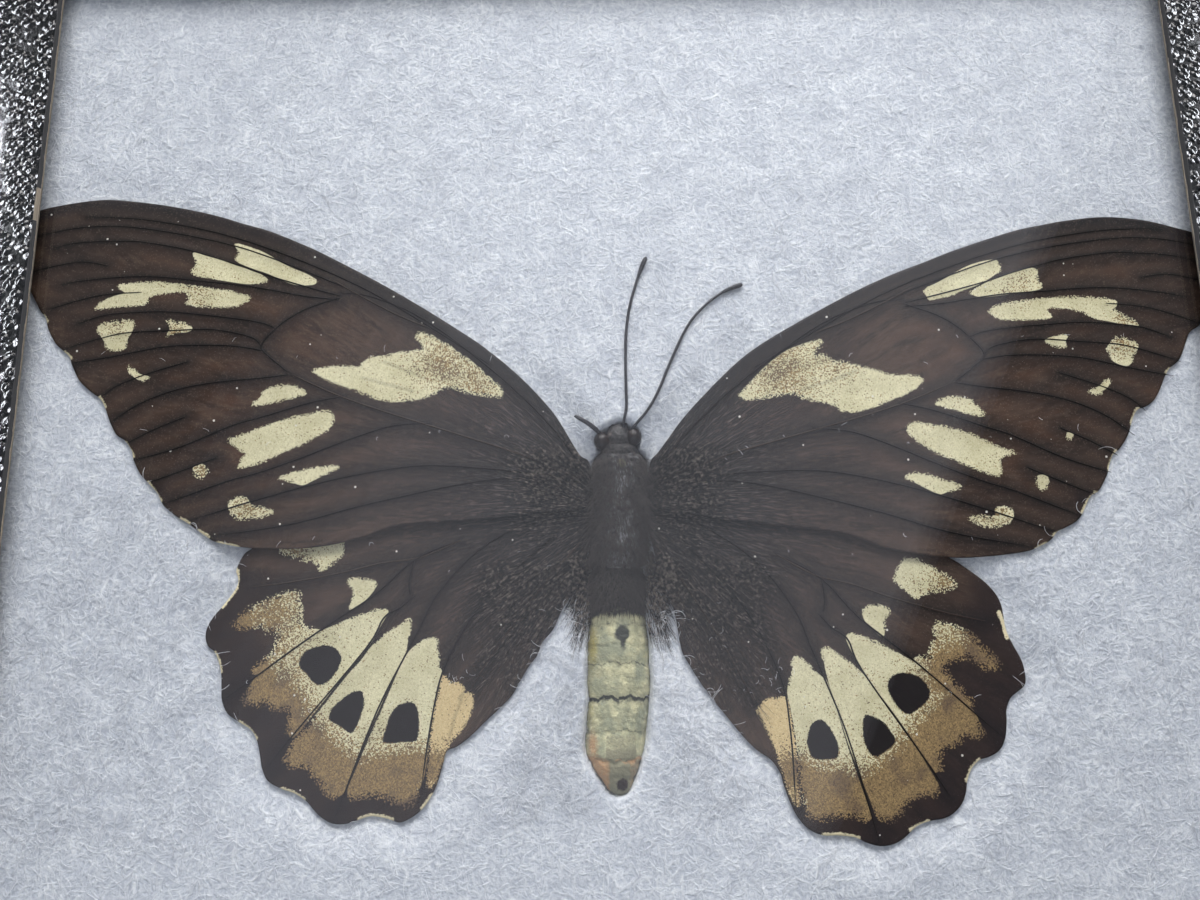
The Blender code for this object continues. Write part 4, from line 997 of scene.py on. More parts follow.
# %% Many strands as one mesh
def spread_along(line, count):
    """Points at even distances along a line."""
    line = np.asarray(line, float)
    run = np.concatenate([[0], np.cumsum(np.linalg.norm(np.diff(line, axis=0), axis=1))])
    wanted = np.linspace(0, run[-1], count)
    return np.stack([np.interp(wanted, run, line[:, axis]) for axis in range(line.shape[1])], axis=1)


def make_strands(name, paths, radii, sides):
    """One mesh of closed round strands. Paths are (strand, point, xyz) and radii (strand, point), in millimetres."""
    paths = np.asarray(paths, float)
    count, steps = paths.shape[:2]
    ahead = np.gradient(paths, axis=1)
    ahead /= np.maximum(np.linalg.norm(ahead, axis=2, keepdims=True), 1e-9)
    side = np.cross(ahead, (0.02, 0.01, 1.0))
    side /= np.maximum(np.linalg.norm(side, axis=2, keepdims=True), 1e-9)
    lift = np.cross(side, ahead)
    turns = np.arange(sides) * 2 * math.pi / sides
    ring = (np.cos(turns)[:, None] * side[:, :, None, :] + np.sin(turns)[:, None] * lift[:, :, None, :])
    points = paths[:, :, None, :] + ring * np.asarray(radii, float)[:, :, None, None]
    index = np.arange(count * steps * sides).reshape(count, steps, sides)
    around = np.roll(index, -1, axis=2)
    walls = np.stack([index[:, :-1], index[:, 1:], around[:, 1:], around[:, :-1]], axis=-1).reshape(-1, 4)
    caps = np.concatenate([index[:, 0], index[:, -1, ::-1]])
    mesh = bpy.data.meshes.new(name)
    mesh.from_pydata((points * MM).reshape(-1, 3).tolist(), [], walls.tolist() + caps.tolist())
    obj = bpy.data.objects.new(name, mesh)
    bpy.context.collection.objects.link(obj)
    mesh.shade_smooth()
    return obj


# %% [markdown]
# A vein is a hollow tube in the film, about 0.4 mm wide at the root and half that at the margin. The same dark
# scales cover it, so it shows as a low dark ridge. The few veins that have lost scales show their tan cuticle.

# %% Wing veins
def keep_points(paths, sides, **values):
    """One number per strand, repeated for each of its points."""
    return {name: np.repeat(numbers, paths.shape[1] * sides) for name, numbers in values.items()}


vein_cuticle, tree, shader = new_material("scaled vein cuticle")
place = add(tree, "TexCoord").outputs["Object"]
scuff = noise(tree, place, 2400.0, 3.0)
bare = add(tree, "Attribute", attribute_name="bare").outputs["Fac"]
dark_vein = mix(tree, scuff, "#0e0b0b", "#241b18")
pale_vein = mix(tree, scuff, "#221b19", "#4a3c33")
vein_colour = mix(tree, bare, dark_vein, pale_vein)
plug(shader, {"Base Color": vein_colour, "Roughness": 0.75, "Specular IOR Level": 0.15})

VEIN_STEPS = 60
VEIN_SIDES = 6
for node, (wing, level, veins, pale_veins, pitch) in WINGS.items():
    lines = [spread_along(smooth(line), VEIN_STEPS) for line in veins + pale_veins]
    flat = np.array(lines)
    relief_lines = [smooth(line) for line in veins + pale_veins]
    heights = wing_height(flat.reshape(-1, 2), level, relief_lines).reshape(flat.shape[:2])
    reach = np.hypot(flat[:, :, 0] - BODY_MIDDLE[0], flat[:, :, 1] - BODY_MIDDLE[1])
    radii = np.interp(reach, [5, 30, 95], [0.20, 0.15, 0.09])
    radii[:, :3] *= np.array([0.4, 0.7, 0.9])
    radii[:, -6:] *= np.linspace(1, 0.3, 6)
    paths = np.dstack([flat, heights + 0.06])
    tubes = make_strands(f"{node}_veins", paths, radii, VEIN_SIDES)
    is_bare = np.array([0.0] * len(veins) + [1.0] * len(pale_veins))
    keep_values(tubes.data, **keep_points(paths, VEIN_SIDES, bare=is_bare))
    dress(tubes, vein_cuticle)
    belongs(tubes, "wing")


# %% [markdown]
# ## The batting
#
# Cotton batting is a springy web of white fibres. The glass presses the specimen into it, so it swells up
# round the wings and the body. The pad's height is worked out point by point: level in the open, a little lower
# under each wing, and a deep hollow for the body. Clouds of lumps a few millimetres wide then ruffle it.

# %% The body's rings in millimetres: place along the body, left side, right side
THORAX_LEVEL = 11.7
THORAX_RINGS = [(9.1, 0.2, 0.8), (8.8, -1.8, 2.7), (8.2, -2.9, 3.8), (7.0, -3.6, 4.6), (4, -3.95, 4.85),
                (1, -4.0, 4.9), (-2, -4.1, 4.8), (-5, -4.3, 4.7), (-7.3, -4.3, 4.5), (-9.0, -4.1, 4.1),
                (-10, -3.2, 3.2), (-10.6, -0.2, 0.3)]
ABDOMEN_LEVEL = 11.2
ABDOMEN_RINGS = [(-8.9, -0.2, 0.2), (-9.3, -2.8, 2.8), (-10, -3.9, 3.7), (-12, -4.5, 4.2), (-15.6, -4.4, 4.1),
                 (-18, -4.7, 4.2), (-21, -5.0, 4.6), (-24.2, -5.0, 4.7), (-27, -5.1, 4.8), (-29.3, -4.9, 4.6),
                 (-32, -5.2, 4.3), (-35, -5.5, 3.9), (-37, -5.3, 3.4), (-39, -4.2, 2.7), (-41, -2.8, 1.8),
                 (-42.3, -1.9, 1.1), (-42.9, -0.6, -0.2)]
FLATTENING = 0.93
TAIL_RISE = 2.6
HEAD_RINGS = [(12.9, 0.2, 0.9), (11.8, -1.9, 3.2), (10.4, -3.3, 3.8), (8.6, -2.8, 3.4)]


# %% [markdown]
# The pad is a fine flat grid whose points are lifted to that height and ruffled by Displace. Its border is then
# extruded down to the tray's floor and closed below, so that it is one solid cushion.

# %% The pad
PAD_SIDE = 201.8
PAD_PITCH = 0.65
PAD_TOP = 15.35
PAD_FOOT = 1.9
BODY_HOLLOW = 6.3


def pad_height(points):
    """The pad's top before its lumps, in millimetres."""
    height = np.full(len(points), PAD_TOP)
    height += 0.12 * np.sin(points[:, 0] / 13 + 1) * np.sin(points[:, 1] / 17)
    for wing, level, clearance in ((FOREWING_LEFT, FOREWING_LEVEL, 0.45), (FOREWING_RIGHT, FOREWING_LEVEL, 0.45),
                                   (HINDWING_LEFT, HINDWING_LEVEL, 0.50), (HINDWING_RIGHT, HINDWING_LEVEL, 0.50)):
        depth = depth_inside(points, smooth(outline(wing), closed=True, steps=2))
        under = ease_up(depth, -6.0, 0.4)
        height = np.minimum(height, height + (level - clearance - root_drop(points[:, 0]) - height) * under)
    hollow = np.zeros(len(points))
    for rings in (THORAX_RINGS, ABDOMEN_RINGS, HEAD_RINGS):
        ring = [(left, y) for y, left, right in rings] + [(right, y) for y, left, right in rings[::-1]]
        hollow = np.maximum(hollow, ease_up(depth_inside(points, ring), -0.3, 1.1))
    return height + (BODY_HOLLOW - height) * hollow


steps = round(PAD_SIDE / PAD_PITCH)
bpy.ops.object.select_all(action="DESELECT")
bpy.ops.mesh.primitive_grid_add(x_subdivisions=steps, y_subdivisions=steps, size=PAD_SIDE * MM)
pad = bpy.context.object
pad.name = "cotton_pad"
places = read_places(pad.data) / MM
places[:, 2] = pad_height(places[:, :2])
write_places(pad.data, places * MM)
for size, strength in ((6.0, 0.34), (1.6, 0.20)):
    lumps = bpy.data.textures.new(f"lumps {size} mm", "CLOUDS")
    lumps.noise_scale = size * MM
    lumps.noise_depth = 3
    ruffle = pad.modifiers.new(f"lumps {size} mm", "DISPLACE")
    ruffle.texture = lumps
    ruffle.texture_coords = "LOCAL"
    ruffle.direction = "Z"
    ruffle.strength = strength * MM
    ruffle.mid_level = 0.5
apply_all(pad)
places = read_places(pad.data) / MM
pad_columns = np.rint((places[:, 0] / PAD_SIDE + 0.5) * steps).astype(int)
pad_rows = np.rint((places[:, 1] / PAD_SIDE + 0.5) * steps).astype(int)
pad_tops = np.zeros((steps + 1, steps + 1))
pad_tops[pad_columns, pad_rows] = places[:, 2]
bpy.ops.object.mode_set(mode="EDIT")
bpy.ops.mesh.select_mode(type="EDGE")
bpy.ops.mesh.select_all(action="DESELECT")
bpy.ops.mesh.select_non_manifold(extend=False)
bpy.ops.mesh.extrude_edges_move()
bpy.ops.object.mode_set(mode="OBJECT")
places = read_places(pad.data) / MM
foot = np.empty(len(pad.data.vertices), bool)
pad.data.vertices.foreach_get("select", foot)
places[foot, 2] = PAD_FOOT
write_places(pad.data, places * MM)
bpy.ops.object.mode_set(mode="EDIT")
bpy.ops.mesh.edge_face_add()
bpy.ops.object.mode_set(mode="OBJECT")
bpy.ops.object.shade_smooth()
print("pad top from", round(pad_tops.min(), 2), "to", round(pad_tops.max(), 2), "mm")

# %% [markdown]
# One fibre is a few hundredths of a millimetre thick, too fine for the pad's mesh, so the web's surface comes
# from the material: noise stretched into threads in three directions and laid over itself. Fibre ends that stand
# up catch light at every angle, which sheen gives, and that is what makes cotton look soft.

# %% Cotton web
cotton_web, tree, shader = new_material("bleached cotton web")
place = add(tree, "TexCoord").outputs["Object"]
bends = add(tree, "TexNoise", {"Vector": place, "Scale": 420.0, "Detail": 0.0})
bent = add(tree, "VectorMath", {0: bends.outputs["Color"], 1: (0.0022, 0.0022, 0.0022), 2: place},
           operation="MULTIPLY_ADD")
threads = None
for turn in (0.4, 1.5, 2.6):
    turned = add(tree, "VectorRotate", {"Vector": bent.outputs["Vector"], "Angle": turn}, rotation_type="Z_AXIS")
    laid = add(tree, "Mapping", {"Vector": turned.outputs["Vector"], "Scale": (300.0, 2300.0, 300.0)})
    sway = noise(tree, laid.outputs["Vector"], 1.0, 1.0)
    if threads is None:
        threads = sway
    else:
        threads = add(tree, "Math", {0: threads, 1: sway}, operation="MAXIMUM").outputs[0]
fluff = noise(tree, place, 1500.0, 2.0, 0.65)
patchy = noise(tree, place, 190.0, 2.0, 0.6)
height = add(tree, "Math", {0: threads, 1: fluff}, operation="ADD")
web_bump = add(tree, "Bump", {"Height": height.outputs["Value"], "Distance": 0.00020, "Strength": 0.9})
plug(shader, {"Normal": web_bump.outputs["Normal"]})
# Where the threads lie low the cotton is painted greyer: painted shade in the hollows of the web
shade = stretch(tree, height.outputs["Value"], (0.9, 1.35))
cotton = mix(tree, shade, "#bfc4ce", "#eef0f3")
dull = stretch(tree, patchy, (0.4, 0.65), (0, 0.34))
cotton = mix(tree, dull, cotton, "#aeb3bf")
neps = add(tree, "TexVoronoi", {"Vector": place, "Scale": 480.0})
nep_pick = add(tree, "SeparateColor", {"Color": neps.outputs["Color"]})
nep_size = stretch(tree, nep_pick.outputs["Red"], (0.8, 1.0), (0.0, 0.07))
is_nep = add(tree, "Math", {0: neps.outputs["Distance"], 1: nep_size}, operation="LESS_THAN")
cotton = mix(tree, is_nep.outputs["Value"], cotton, "#ffffff")
plug(shader, {"Base Color": cotton, "Roughness": 0.95, "Specular IOR Level": 0.1, "Sheen Weight": 0.3,
              "Sheen Roughness": 0.6})
dress(pad, cotton_web)
belongs(pad, "cotton_batting", "batting")

# %% [markdown]
# Loose fibres stand up from the web, and a few lie over the wings' edges, which beds the specimen in the cotton.
# Each is a short curved strand: it starts in the pad, arcs a few tenths of a millimetre over it and dips back.
# Strands that would cross a wing are dropped but for a few.

# %% Loose fibres
rng = np.random.default_rng(7)
FIBRE_PIECES = 3
FIBRES_EACH = 3800
FIBRE_STEPS = 6
# No strand rises past this, just short of the glass
STRAND_CEILING = 16.2


def top_under(points):
    """What lies highest under a place, in millimetres, and whether that is a wing."""
    columns = np.clip(np.rint((points[:, 0] / PAD_SIDE + 0.5) * steps).astype(int), 0, steps)
    rows = np.clip(np.rint((points[:, 1] / PAD_SIDE + 0.5) * steps).astype(int), 0, steps)
    top = pad_tops[columns, rows]
    on_wing = np.zeros(len(points), bool)
    for node, (wing, level, veins, pale_veins, pitch) in WINGS.items():
        ring = smooth(outline(wing), closed=True, steps=2)
        near = (np.abs(points[:, 0]) < 99) & (points[:, 1] < 52) & (points[:, 1] > -52)
        over = np.zeros(len(points), bool)
        over[near] = depth_inside(points[near], ring) > -0.1
        top = np.where(over, np.maximum(top, level - root_drop(points[:, 0]) + 0.2), top)
        on_wing |= over
    return top, on_wing


def curved_paths(starts, headings, lengths, bends, count):
    """Flat paths that leave their starts at a heading and turn evenly, in millimetres."""
    t = np.linspace(0, 1, count)
    angles = headings[:, None] + bends[:, None] * (t - 0.5)
    moves = lengths[:, None] / (count - 1) * np.ones(count)
    x = starts[:, :1] + np.cumsum(np.cos(angles) * moves, axis=1)
    y = starts[:, 1:] + np.cumsum(np.sin(angles) * moves, axis=1)
    return np.stack([x, y], axis=2)


bleached_fibre, tree, shader = new_material("single bleached fibre")
place = add(tree, "TexCoord").outputs["Object"]
along = noise(tree, place, 700.0, 1.0)
fibre_colour = mix(tree, along, "#dcdfe6", "#fbfbfd")
plug(shader, {"Base Color": fibre_colour, "Roughness": 0.45, "Specular IOR Level": 0.4})

wing_rings = [smooth(outline(wing[0]), closed=True, steps=2) for wing in WINGS.values()]
for piece in range(FIBRE_PIECES):
    starts = rng.uniform(-93.5, 93.5, (FIBRES_EACH * 3, 2))
    bare = np.ones(len(starts), bool)
    for ring in wing_rings:
        bare &= depth_inside(starts, ring) < -0.5
    starts = starts[bare & (np.abs(starts[:, 0] - 0.2) + 0.2 * np.abs(starts[:, 1] + 15) > 7)][:FIBRES_EACH]
    number = len(starts)
    paths = curved_paths(starts, rng.uniform(0, 2 * math.pi, number), rng.uniform(1.0, 3.4, number),
                         rng.normal(0, 1.2, number), FIBRE_STEPS)
    t = np.linspace(0, 1, FIBRE_STEPS)
    arch = rng.uniform(0.02, 0.26, number)[:, None] * np.sin(math.pi * t) + 0.04
    heights, crossing = top_under(paths.reshape(-1, 2))
    heights = heights.reshape(number, FIBRE_STEPS)
    heights = np.minimum(np.maximum(heights, heights.mean(axis=1, keepdims=True)) + arch, STRAND_CEILING)
    radii = rng.uniform(0.02, 0.042, number)[:, None] * np.array([0.4, 1, 1, 1, 1, 0.4])
    clear = ~crossing.reshape(number, FIBRE_STEPS).any(axis=1) | (rng.random(number) < 0.04)
    fibres = make_strands(f"loose_fibres_{piece + 1}", np.dstack([paths, heights])[clear], radii[clear], 3)
    dress(fibres, bleached_fibre)
    belongs(fibres, "cotton_batting")


# %% [markdown]
# Where the pad has been pulled apart to bed the body, its fibres are loose and curly. The same curved strands
# serve, longer and more bent, and the odd thread of lint that has settled on the wings is one of them too.

# %% Curly fibres and lint
CURLY_STEPS = 7


def curly_fibres(name, starts, length_range, bend, radius):
    number = len(starts)
    paths = curved_paths(starts, rng.uniform(0, 2 * math.pi, number), rng.uniform(*length_range, number),
                         rng.normal(0, bend, number), CURLY_STEPS)
    t = np.linspace(0, 1, CURLY_STEPS)
    heights = top_under(paths.reshape(-1, 2))[0].reshape(number, CURLY_STEPS)
    arch = rng.uniform(0.05, 0.4, number)[:, None] * np.sin(math.pi * t) + 0.05
    heights = np.minimum(np.maximum(heights, heights.mean(axis=1, keepdims=True)) + arch, STRAND_CEILING)
    radii = rng.uniform(0.6, 1.2, number)[:, None] * radius * np.array([0.5] + [1] * (CURLY_STEPS - 2) + [0.5])
    curls = make_strands(name, np.dstack([paths, heights]), radii, 3)
    dress(curls, bleached_fibre)
    belongs(curls, "cotton_batting")


NEST_ZONES = [((5.2, -46), (17, -16), 900), ((60, -50), (93, 4), 2000), ((20, -60), (93, -40), 1400),
              ((80, 0), (93, 50), 300)]
nest = np.concatenate([rng.uniform(low, high, (number, 2)) * (side, 1) + (0.2, 0)
                       for low, high, number in NEST_ZONES for side in (-1, 1)])
free = np.ones(len(nest), bool)
for ring in wing_rings:
    free &= depth_inside(nest, ring) < -0.2
curly_fibres("curly_fibres", nest[free][:4200], (0.8, 2.8), 2.2, 0.032)
lint = [(x, y, 1.2) for x, y in ((37.3, 12), (17.5, 7.3), (18.4, 7.5), (17.7, -29), (17.9, -28.8))]
lint += [(21.7, -26.5, 2.2)] * 14 + [(-24, -25, 1.6)] * 9 + [(-12, -20, 4.0)] * 8 + [(12, -19, 4.0)] * 8
lint += [(x, y, 3.0) for x in range(-80, 90, 9) for y in (-28, -8, 10, 24)]
lint = np.array(lint)
on_wing = lint[:, :2] + rng.uniform(-1, 1, (len(lint), 2)) * lint[:, 2:]
curly_fibres("lint", on_wing, (0.3, 1.3), 1.6, 0.022)


# %% [markdown]
# ## The body
#
# Thorax, abdomen and head are rounded bodies that pressing has made a little flat. Each starts as a fine sphere
# whose poles are the body's two ends. Every ring of the sphere is moved along the body and takes the width that
# was read off the photograph there, so the seams stay closed. The abdomen's rings telescope into each other,
# which leaves a groove at each joint.

# %% Thorax and abdomen
def make_body(name, rings, level, sides, rows, grooves):
    """A sphere stretched over rings of (y, left, right), with a groove at each (y, depth, width)."""
    bpy.ops.object.select_all(action="DESELECT")
    bpy.ops.mesh.primitive_uv_sphere_add(segments=sides, ring_count=rows, radius=1)
    body = bpy.context.object
    body.name = name
    unit = read_places(body.data)
    share = np.arccos(np.clip(unit[:, 2], -1, 1)) / math.pi
    turn = -np.arctan2(unit[:, 1], unit[:, 0])
    line = spread_along(smooth(rings), 400)
    y, left, right = (np.interp(share, np.linspace(0, 1, 400), line[:, i]) for i in range(3))
    half = np.maximum((right - left) / 2, 0)
    for groove_y, depth, width in grooves:
        wander = 0.35 * np.cos(turn) ** 2 + 0.18 * np.sin(5 * turn + groove_y) + 0.1 * np.sin(13 * turn)
        half = half * (1 - depth * np.exp(-((y - groove_y + wander) / width) ** 2))
    x = (left + right) / 2 + half * np.cos(turn)
    rise = TAIL_RISE * ease_up(-y, 33, 42.5)
    z = level + rise + half * FLATTENING * np.sin(turn)
    write_places(body.data, np.stack([x, y, z], axis=1) * MM)
    return body


def roughen(obj, size, strength):
    """Ruffles a piece with clouds of one size, both in millimetres."""
    clouds = bpy.data.textures.new(f"{obj.name} clouds {size} mm", "CLOUDS")
    clouds.noise_scale = size * MM
    clouds.noise_depth = 2
    ruffle = obj.modifiers.new(f"clouds {size} mm", "DISPLACE")
    ruffle.texture = clouds
    ruffle.texture_coords = "LOCAL"
    ruffle.strength = strength * MM


ABDOMEN_GROOVES = [(-12.0, 0.03, 0.35), (-16.2, 0.04, 0.4), (-20.0, 0.02, 0.35), (-21.4, 0.015, 0.25),
                   (-24.2, 0.025, 0.45), (-29.3, 0.045, 0.5), (-32.0, 0.015, 0.3), (-34.0, 0.025, 0.4),
                   (-38.0, 0.05, 0.4), (-40.3, 0.06, 0.35)]
thorax = make_body("furry_thorax", THORAX_RINGS, THORAX_LEVEL, 120, 120, [(-7.6, 0.05, 0.4), (6.6, 0.03, 0.3)])
roughen(thorax, 1.6, 0.45)
roughen(thorax, 0.5, 0.18)
apply_all(thorax)
places = read_places(thorax.data) / MM
keep_values(thorax.data, rubbed=np.exp(-((places[:, 0] - 0.7) / 2.5) ** 2) * ease_up(places[:, 2], 13.0, 15.2))
abdomen = make_body("ringed_abdomen", ABDOMEN_RINGS, ABDOMEN_LEVEL, 112, 240, ABDOMEN_GROOVES)
roughen(abdomen, 2.2, 0.30)
roughen(abdomen, 0.6, 0.10)
apply_all(abdomen)

# %% [markdown]
# The abdomen is chitin powdered with cream scales, worn dark at the joints between its rings. Its marks are
# stored on the mesh as soft bands and spots, in millimetres along the body, and the material breaks them up.

# %% Marks on the abdomen
points = read_places(abdomen.data) / MM
x, y = points[:, 0], points[:, 1]


def band(centre, width, arch=0.0):
    """A soft ring round the abdomen that wanders, and bows towards the head in the middle."""
    wander = 0.22 * np.sin(1.9 * x + centre) + 0.12 * np.sin(4.7 * x + 2 * centre) + 0.06 * np.sin(11 * x)
    return np.exp(-((y + wander - centre - arch * (1 - (x / 4.5) ** 2)) / width) ** 2)


dark_marks = (0.55 * band(-24.5, 0.16, 0.6) + 0.3 * band(-25.1, 0.4, 0.5) + 1.0 * band(-29.3, 0.22, 0.3)
              + 0.4 * band(-29.8, 0.4, 0.3) + 0.35 * band(-32.2, 0.15) + 0.5 * band(-34.1, 0.16, 0.4)
              + 0.4 * band(-37.7, 0.2) + 0.6 * band(-16.4, 0.6) + 0.4 * band(-18.4, 0.6))
dark_marks += (0.4 * band(-20.4, 0.2) + 0.4 * band(-21.6, 0.15) + 0.3 * band(-22.6, 0.12)) * (np.abs(x) > 1.6)
dark_marks += (0.4 * band(-26.5, 0.14, 0.6) + 0.35 * band(-27.7, 0.12, 0.4) + 0.3 * band(-31, 0.14)
               + 0.3 * band(-35.6, 0.2))
dark_marks += 1.1 * np.exp(-(((x - 0.4) / 1.2) ** 2 + ((y + 19.8) / 1.0) ** 2) ** 2)
dark_marks += 0.8 * np.exp(-(((x - 0.5) / 0.4) ** 2 + ((y + 21.4) / 0.9) ** 2))
fur_share = ease_up(y + 1.6 * (x / 4.5) ** 2, -17.2, -15.0)
yellow_marks = np.exp(-(((x + 4.2) / 1.2) ** 2 + ((y + 21.5) / 4.0) ** 2)) + 0.5 * np.exp(
    -(((x - 3.9) / 1.0) ** 2 + ((y + 22) / 5) ** 2)) + 0.6 * np.exp(-(((x + 4.4) / 0.9) ** 2 + ((y + 31) / 4) ** 2))
tan_marks = ease_up(-y, 37.0, 38.2) * ease_up(np.abs(x + 0.3), 0.8, 1.9) * np.where(x < 0, 1, 0.6)
# The short pale band at y -37.9 is a painted highlight on the tip; the other tan marks are its own colour
tan_marks += np.exp(-(((x + 4.2) / 1.1) ** 2 + ((y + 35.8) / 2.6) ** 2)) + 0.8 * band(-37.9, 0.25) * (x > -1.0)
grey_marks = 0.7 * ease_up(-y, 36.0, 37.4) + 0.7 * ease_up(-y, 33.8, 34.6) * (np.abs(x) < 2.2)
blob = np.exp(-((x - 0.1) ** 2 + (y + 41.2) ** 2) / 0.9)
keep_values(abdomen.data, dark_marks=np.minimum(dark_marks, 1), fur_share=fur_share,
            yellow_marks=np.minimum(yellow_marks, 1), tan_marks=np.minimum(tan_marks, 1),
            grey_marks=np.minimum(grey_marks, 1), blob=blob)

cream_chitin, tree, shader = new_material("cream scaled chitin")
place = add(tree, "TexCoord").outputs["Object"]
dust = noise(tree, place, 2600.0, 3.0, 0.6)
mottle = noise(tree, place, 620.0, 4.0, 0.65)
blotchy = stretch(tree, mottle, (0.38, 0.68))


def marked(name, start, end):
    """How far a stored mark shows once scale dust has broken its edge."""
    value = add(tree, "Attribute", attribute_name=name).outputs["Fac"]
    broken = add(tree, "Math", {0: dust, 1: 0.9, 2: value}, operation="MULTIPLY_ADD")
    ramp = add(tree, "MapRange", {"Value": broken.outputs["Value"], "From Min": start + 0.45, "From Max": end + 0.45},
               interpolation_type="SMOOTHSTEP")
    return ramp.outputs["Result"]


patchy = noise(tree, place, 300.0, 3.0, 0.7)
greenish = stretch(tree, patchy, (0.44, 0.62), (0, 0.8))
layers = [(blotchy, "#9a987a"), (greenish, "#8f937c"), (marked("yellow_marks", 0.3, 1.1), "#b3a45c"),
          (marked("grey_marks", 0.3, 1.0), "#86826a"), (marked("tan_marks", 0.3, 1.2), "#bb9067"),
          (marked("dark_marks", 0.18, 0.75), "#34362f"), (marked("fur_share", 0.3, 0.7), "#1b1716"),
          (marked("blob", 0.3, 0.6), "#2a1818")]
shown = linear("#d3cda4")
for factor, hex_colour in layers:
    shown = mix(tree, factor, shown, hex_colour)
plug(shader, {"Base Color": shown})
rise = add(tree, "Math", {0: dust, 1: mottle}, operation="ADD")
powder = add(tree, "Bump", {"Height": rise.outputs["Value"], "Distance": 0.00016, "Strength": 0.9})
plug(shader, {"Normal": powder.outputs["Normal"], "Roughness": 0.7, "Sheen Weight": 0.15})
dress(abdomen, cream_chitin)
belongs(abdomen, "pale_abdomen", "abdomen")

# %% [markdown]
# Thorax and head are black chitin under fur that is mostly rubbed off on top, where the bare shell's dull shine
# is painted in pale grey. Small yellow and brownish grey spots sit on and behind the head, and a painted
# highlight lies on the thorax. The big compound eyes are smooth, and a brown glint is painted on every facet.

# %% Dark chitin, eyes and head
dark_chitin, tree, shader = new_material("dusty black chitin")
place = add(tree, "TexCoord").outputs["Object"]
dust = noise(tree, place, 1800.0, 4.0, 0.6)
patches = noise(tree, place, 620.0, 3.0)
dusty = stretch(tree, dust, (0.36, 0.66))
shell = mix(tree, dusty, "#0b0a0c", "#4a4646")
rubbed = add(tree, "Attribute", attribute_name="rubbed").outputs["Fac"]
cracked = stretch(tree, patches, (0.36, 0.58))
bare_shine_share = add(tree, "Math", {0: rubbed, 1: cracked}, operation="MULTIPLY")
# The rubbed top is painted pale grey: the wear is real, the bare shell's shine is painted into the colour
dull = mix(tree, dusty, "#555458", "#c4c4c8")
shown = mix(tree, bare_shine_share.outputs["Value"], shell, dull)
# Marks: a yellow spot behind the head, a painted highlight on top of the thorax, two brownish grey spots on the head
for centre, size, hex_colour in (((0.7, 6.2, 15.7), 0.7, "#aaa27c"), ((1.0, 3.2, 16.2), 0.35, "#d0ccc4"),
                                 ((-1.2, 10.9, 15.3), 0.35, "#8f8078"), ((1.9, 12.0, 14.9), 0.3, "#8f8078")):
    offset = add(tree, "VectorMath", {0: place, 1: Vector(centre) * MM}, operation="DISTANCE")
    ragged = add(tree, "Math", {0: dust, 1: 0.0006, 2: offset.outputs["Value"]}, operation="MULTIPLY_ADD")
    mark = stretch(tree, ragged.outputs["Value"], ((size + 0.45) * MM, (size + 0.1) * MM), (0, 0.8))
    shown = mix(tree, mark, shown, hex_colour)
plug(shader, {"Base Color": shown})
worn = stretch(tree, patches, (0, 1), (0.35, 0.7))
plug(shader, {"Roughness": worn})
pits = add(tree, "Bump", {"Height": dust, "Distance": 0.00025, "Strength": 0.9})
plug(shader, {"Normal": pits.outputs["Normal"]})
dress(thorax, dark_chitin)
belongs(thorax, "dark_body", "thorax")

compound_eye, tree, shader = new_material("compound eye")
place = add(tree, "TexCoord").outputs["Object"]
FACET = 0.09 * MM
facets = add(tree, "TexVoronoi", {"Vector": place, "Scale": 1 / FACET})
# Each facet's centre is painted brown and its rim black: a painted glint on every lens
painted_facet_glint = mix(tree, facets.outputs["Distance"], "#2a1a14", "#0c0808")
plug(shader, {"Base Color": painted_facet_glint})
lenses = add(tree, "Bump", {"Height": facets.outputs["Distance"], "Distance": 0.00003, "Strength": 0.5})
plug(shader, {"Normal": lenses.outputs["Normal"], "Roughness": 0.28})


def ball(centre, half_size, segments, rings, material):
    """A rounded lump, its centre and half size in millimetres."""
    bpy.ops.object.select_all(action="DESELECT")
    bpy.ops.mesh.primitive_uv_sphere_add(segments=segments, ring_count=rings, radius=1, location=Vector(centre) * MM)
    lump = bpy.context.object
    lump.scale = Vector(half_size) * MM
    bpy.ops.object.transform_apply(location=True, rotation=True, scale=True)
    bpy.ops.object.shade_smooth()
    dress(lump, material)
    return lump


skull = ball((0.3, 10.6, 13.5), (2.05, 2.2, 2.15), 48, 32, dark_chitin)
roughen(skull, 0.7, 0.22)
apply_all(skull)
lumps = [ball((-2.25, 9.95, 14.1), (1.3, 1.4, 1.4), 40, 28, compound_eye),
         ball((2.65, 10.6, 14.1), (1.3, 1.4, 1.4), 40, 28, compound_eye),
         ball((-0.75, 12.35, 13.9), (0.5, 0.95, 0.5), 20, 14, dark_chitin),
         ball((1.35, 12.3, 13.9), (0.5, 0.95, 0.5), 20, 14, dark_chitin),
         ball((0.5, 8.5, 12.9), (2.9, 1.5, 2.7), 32, 20, dark_chitin)]
bpy.ops.object.select_all(action="DESELECT")
for lump in lumps:
    lump.select_set(True)
skull.select_set(True)
bpy.context.view_layer.objects.active = skull
bpy.ops.object.join()
skull.name = "head_and_eyes"
belongs(skull, "dark_body", "head")

# %% [markdown]
# An antenna is a string of several dozen joints, each a touch wider at its far end, and it thickens into a club
# at the tip. A strand with many rings, whose radius rises and falls once per joint, gives that in one piece.

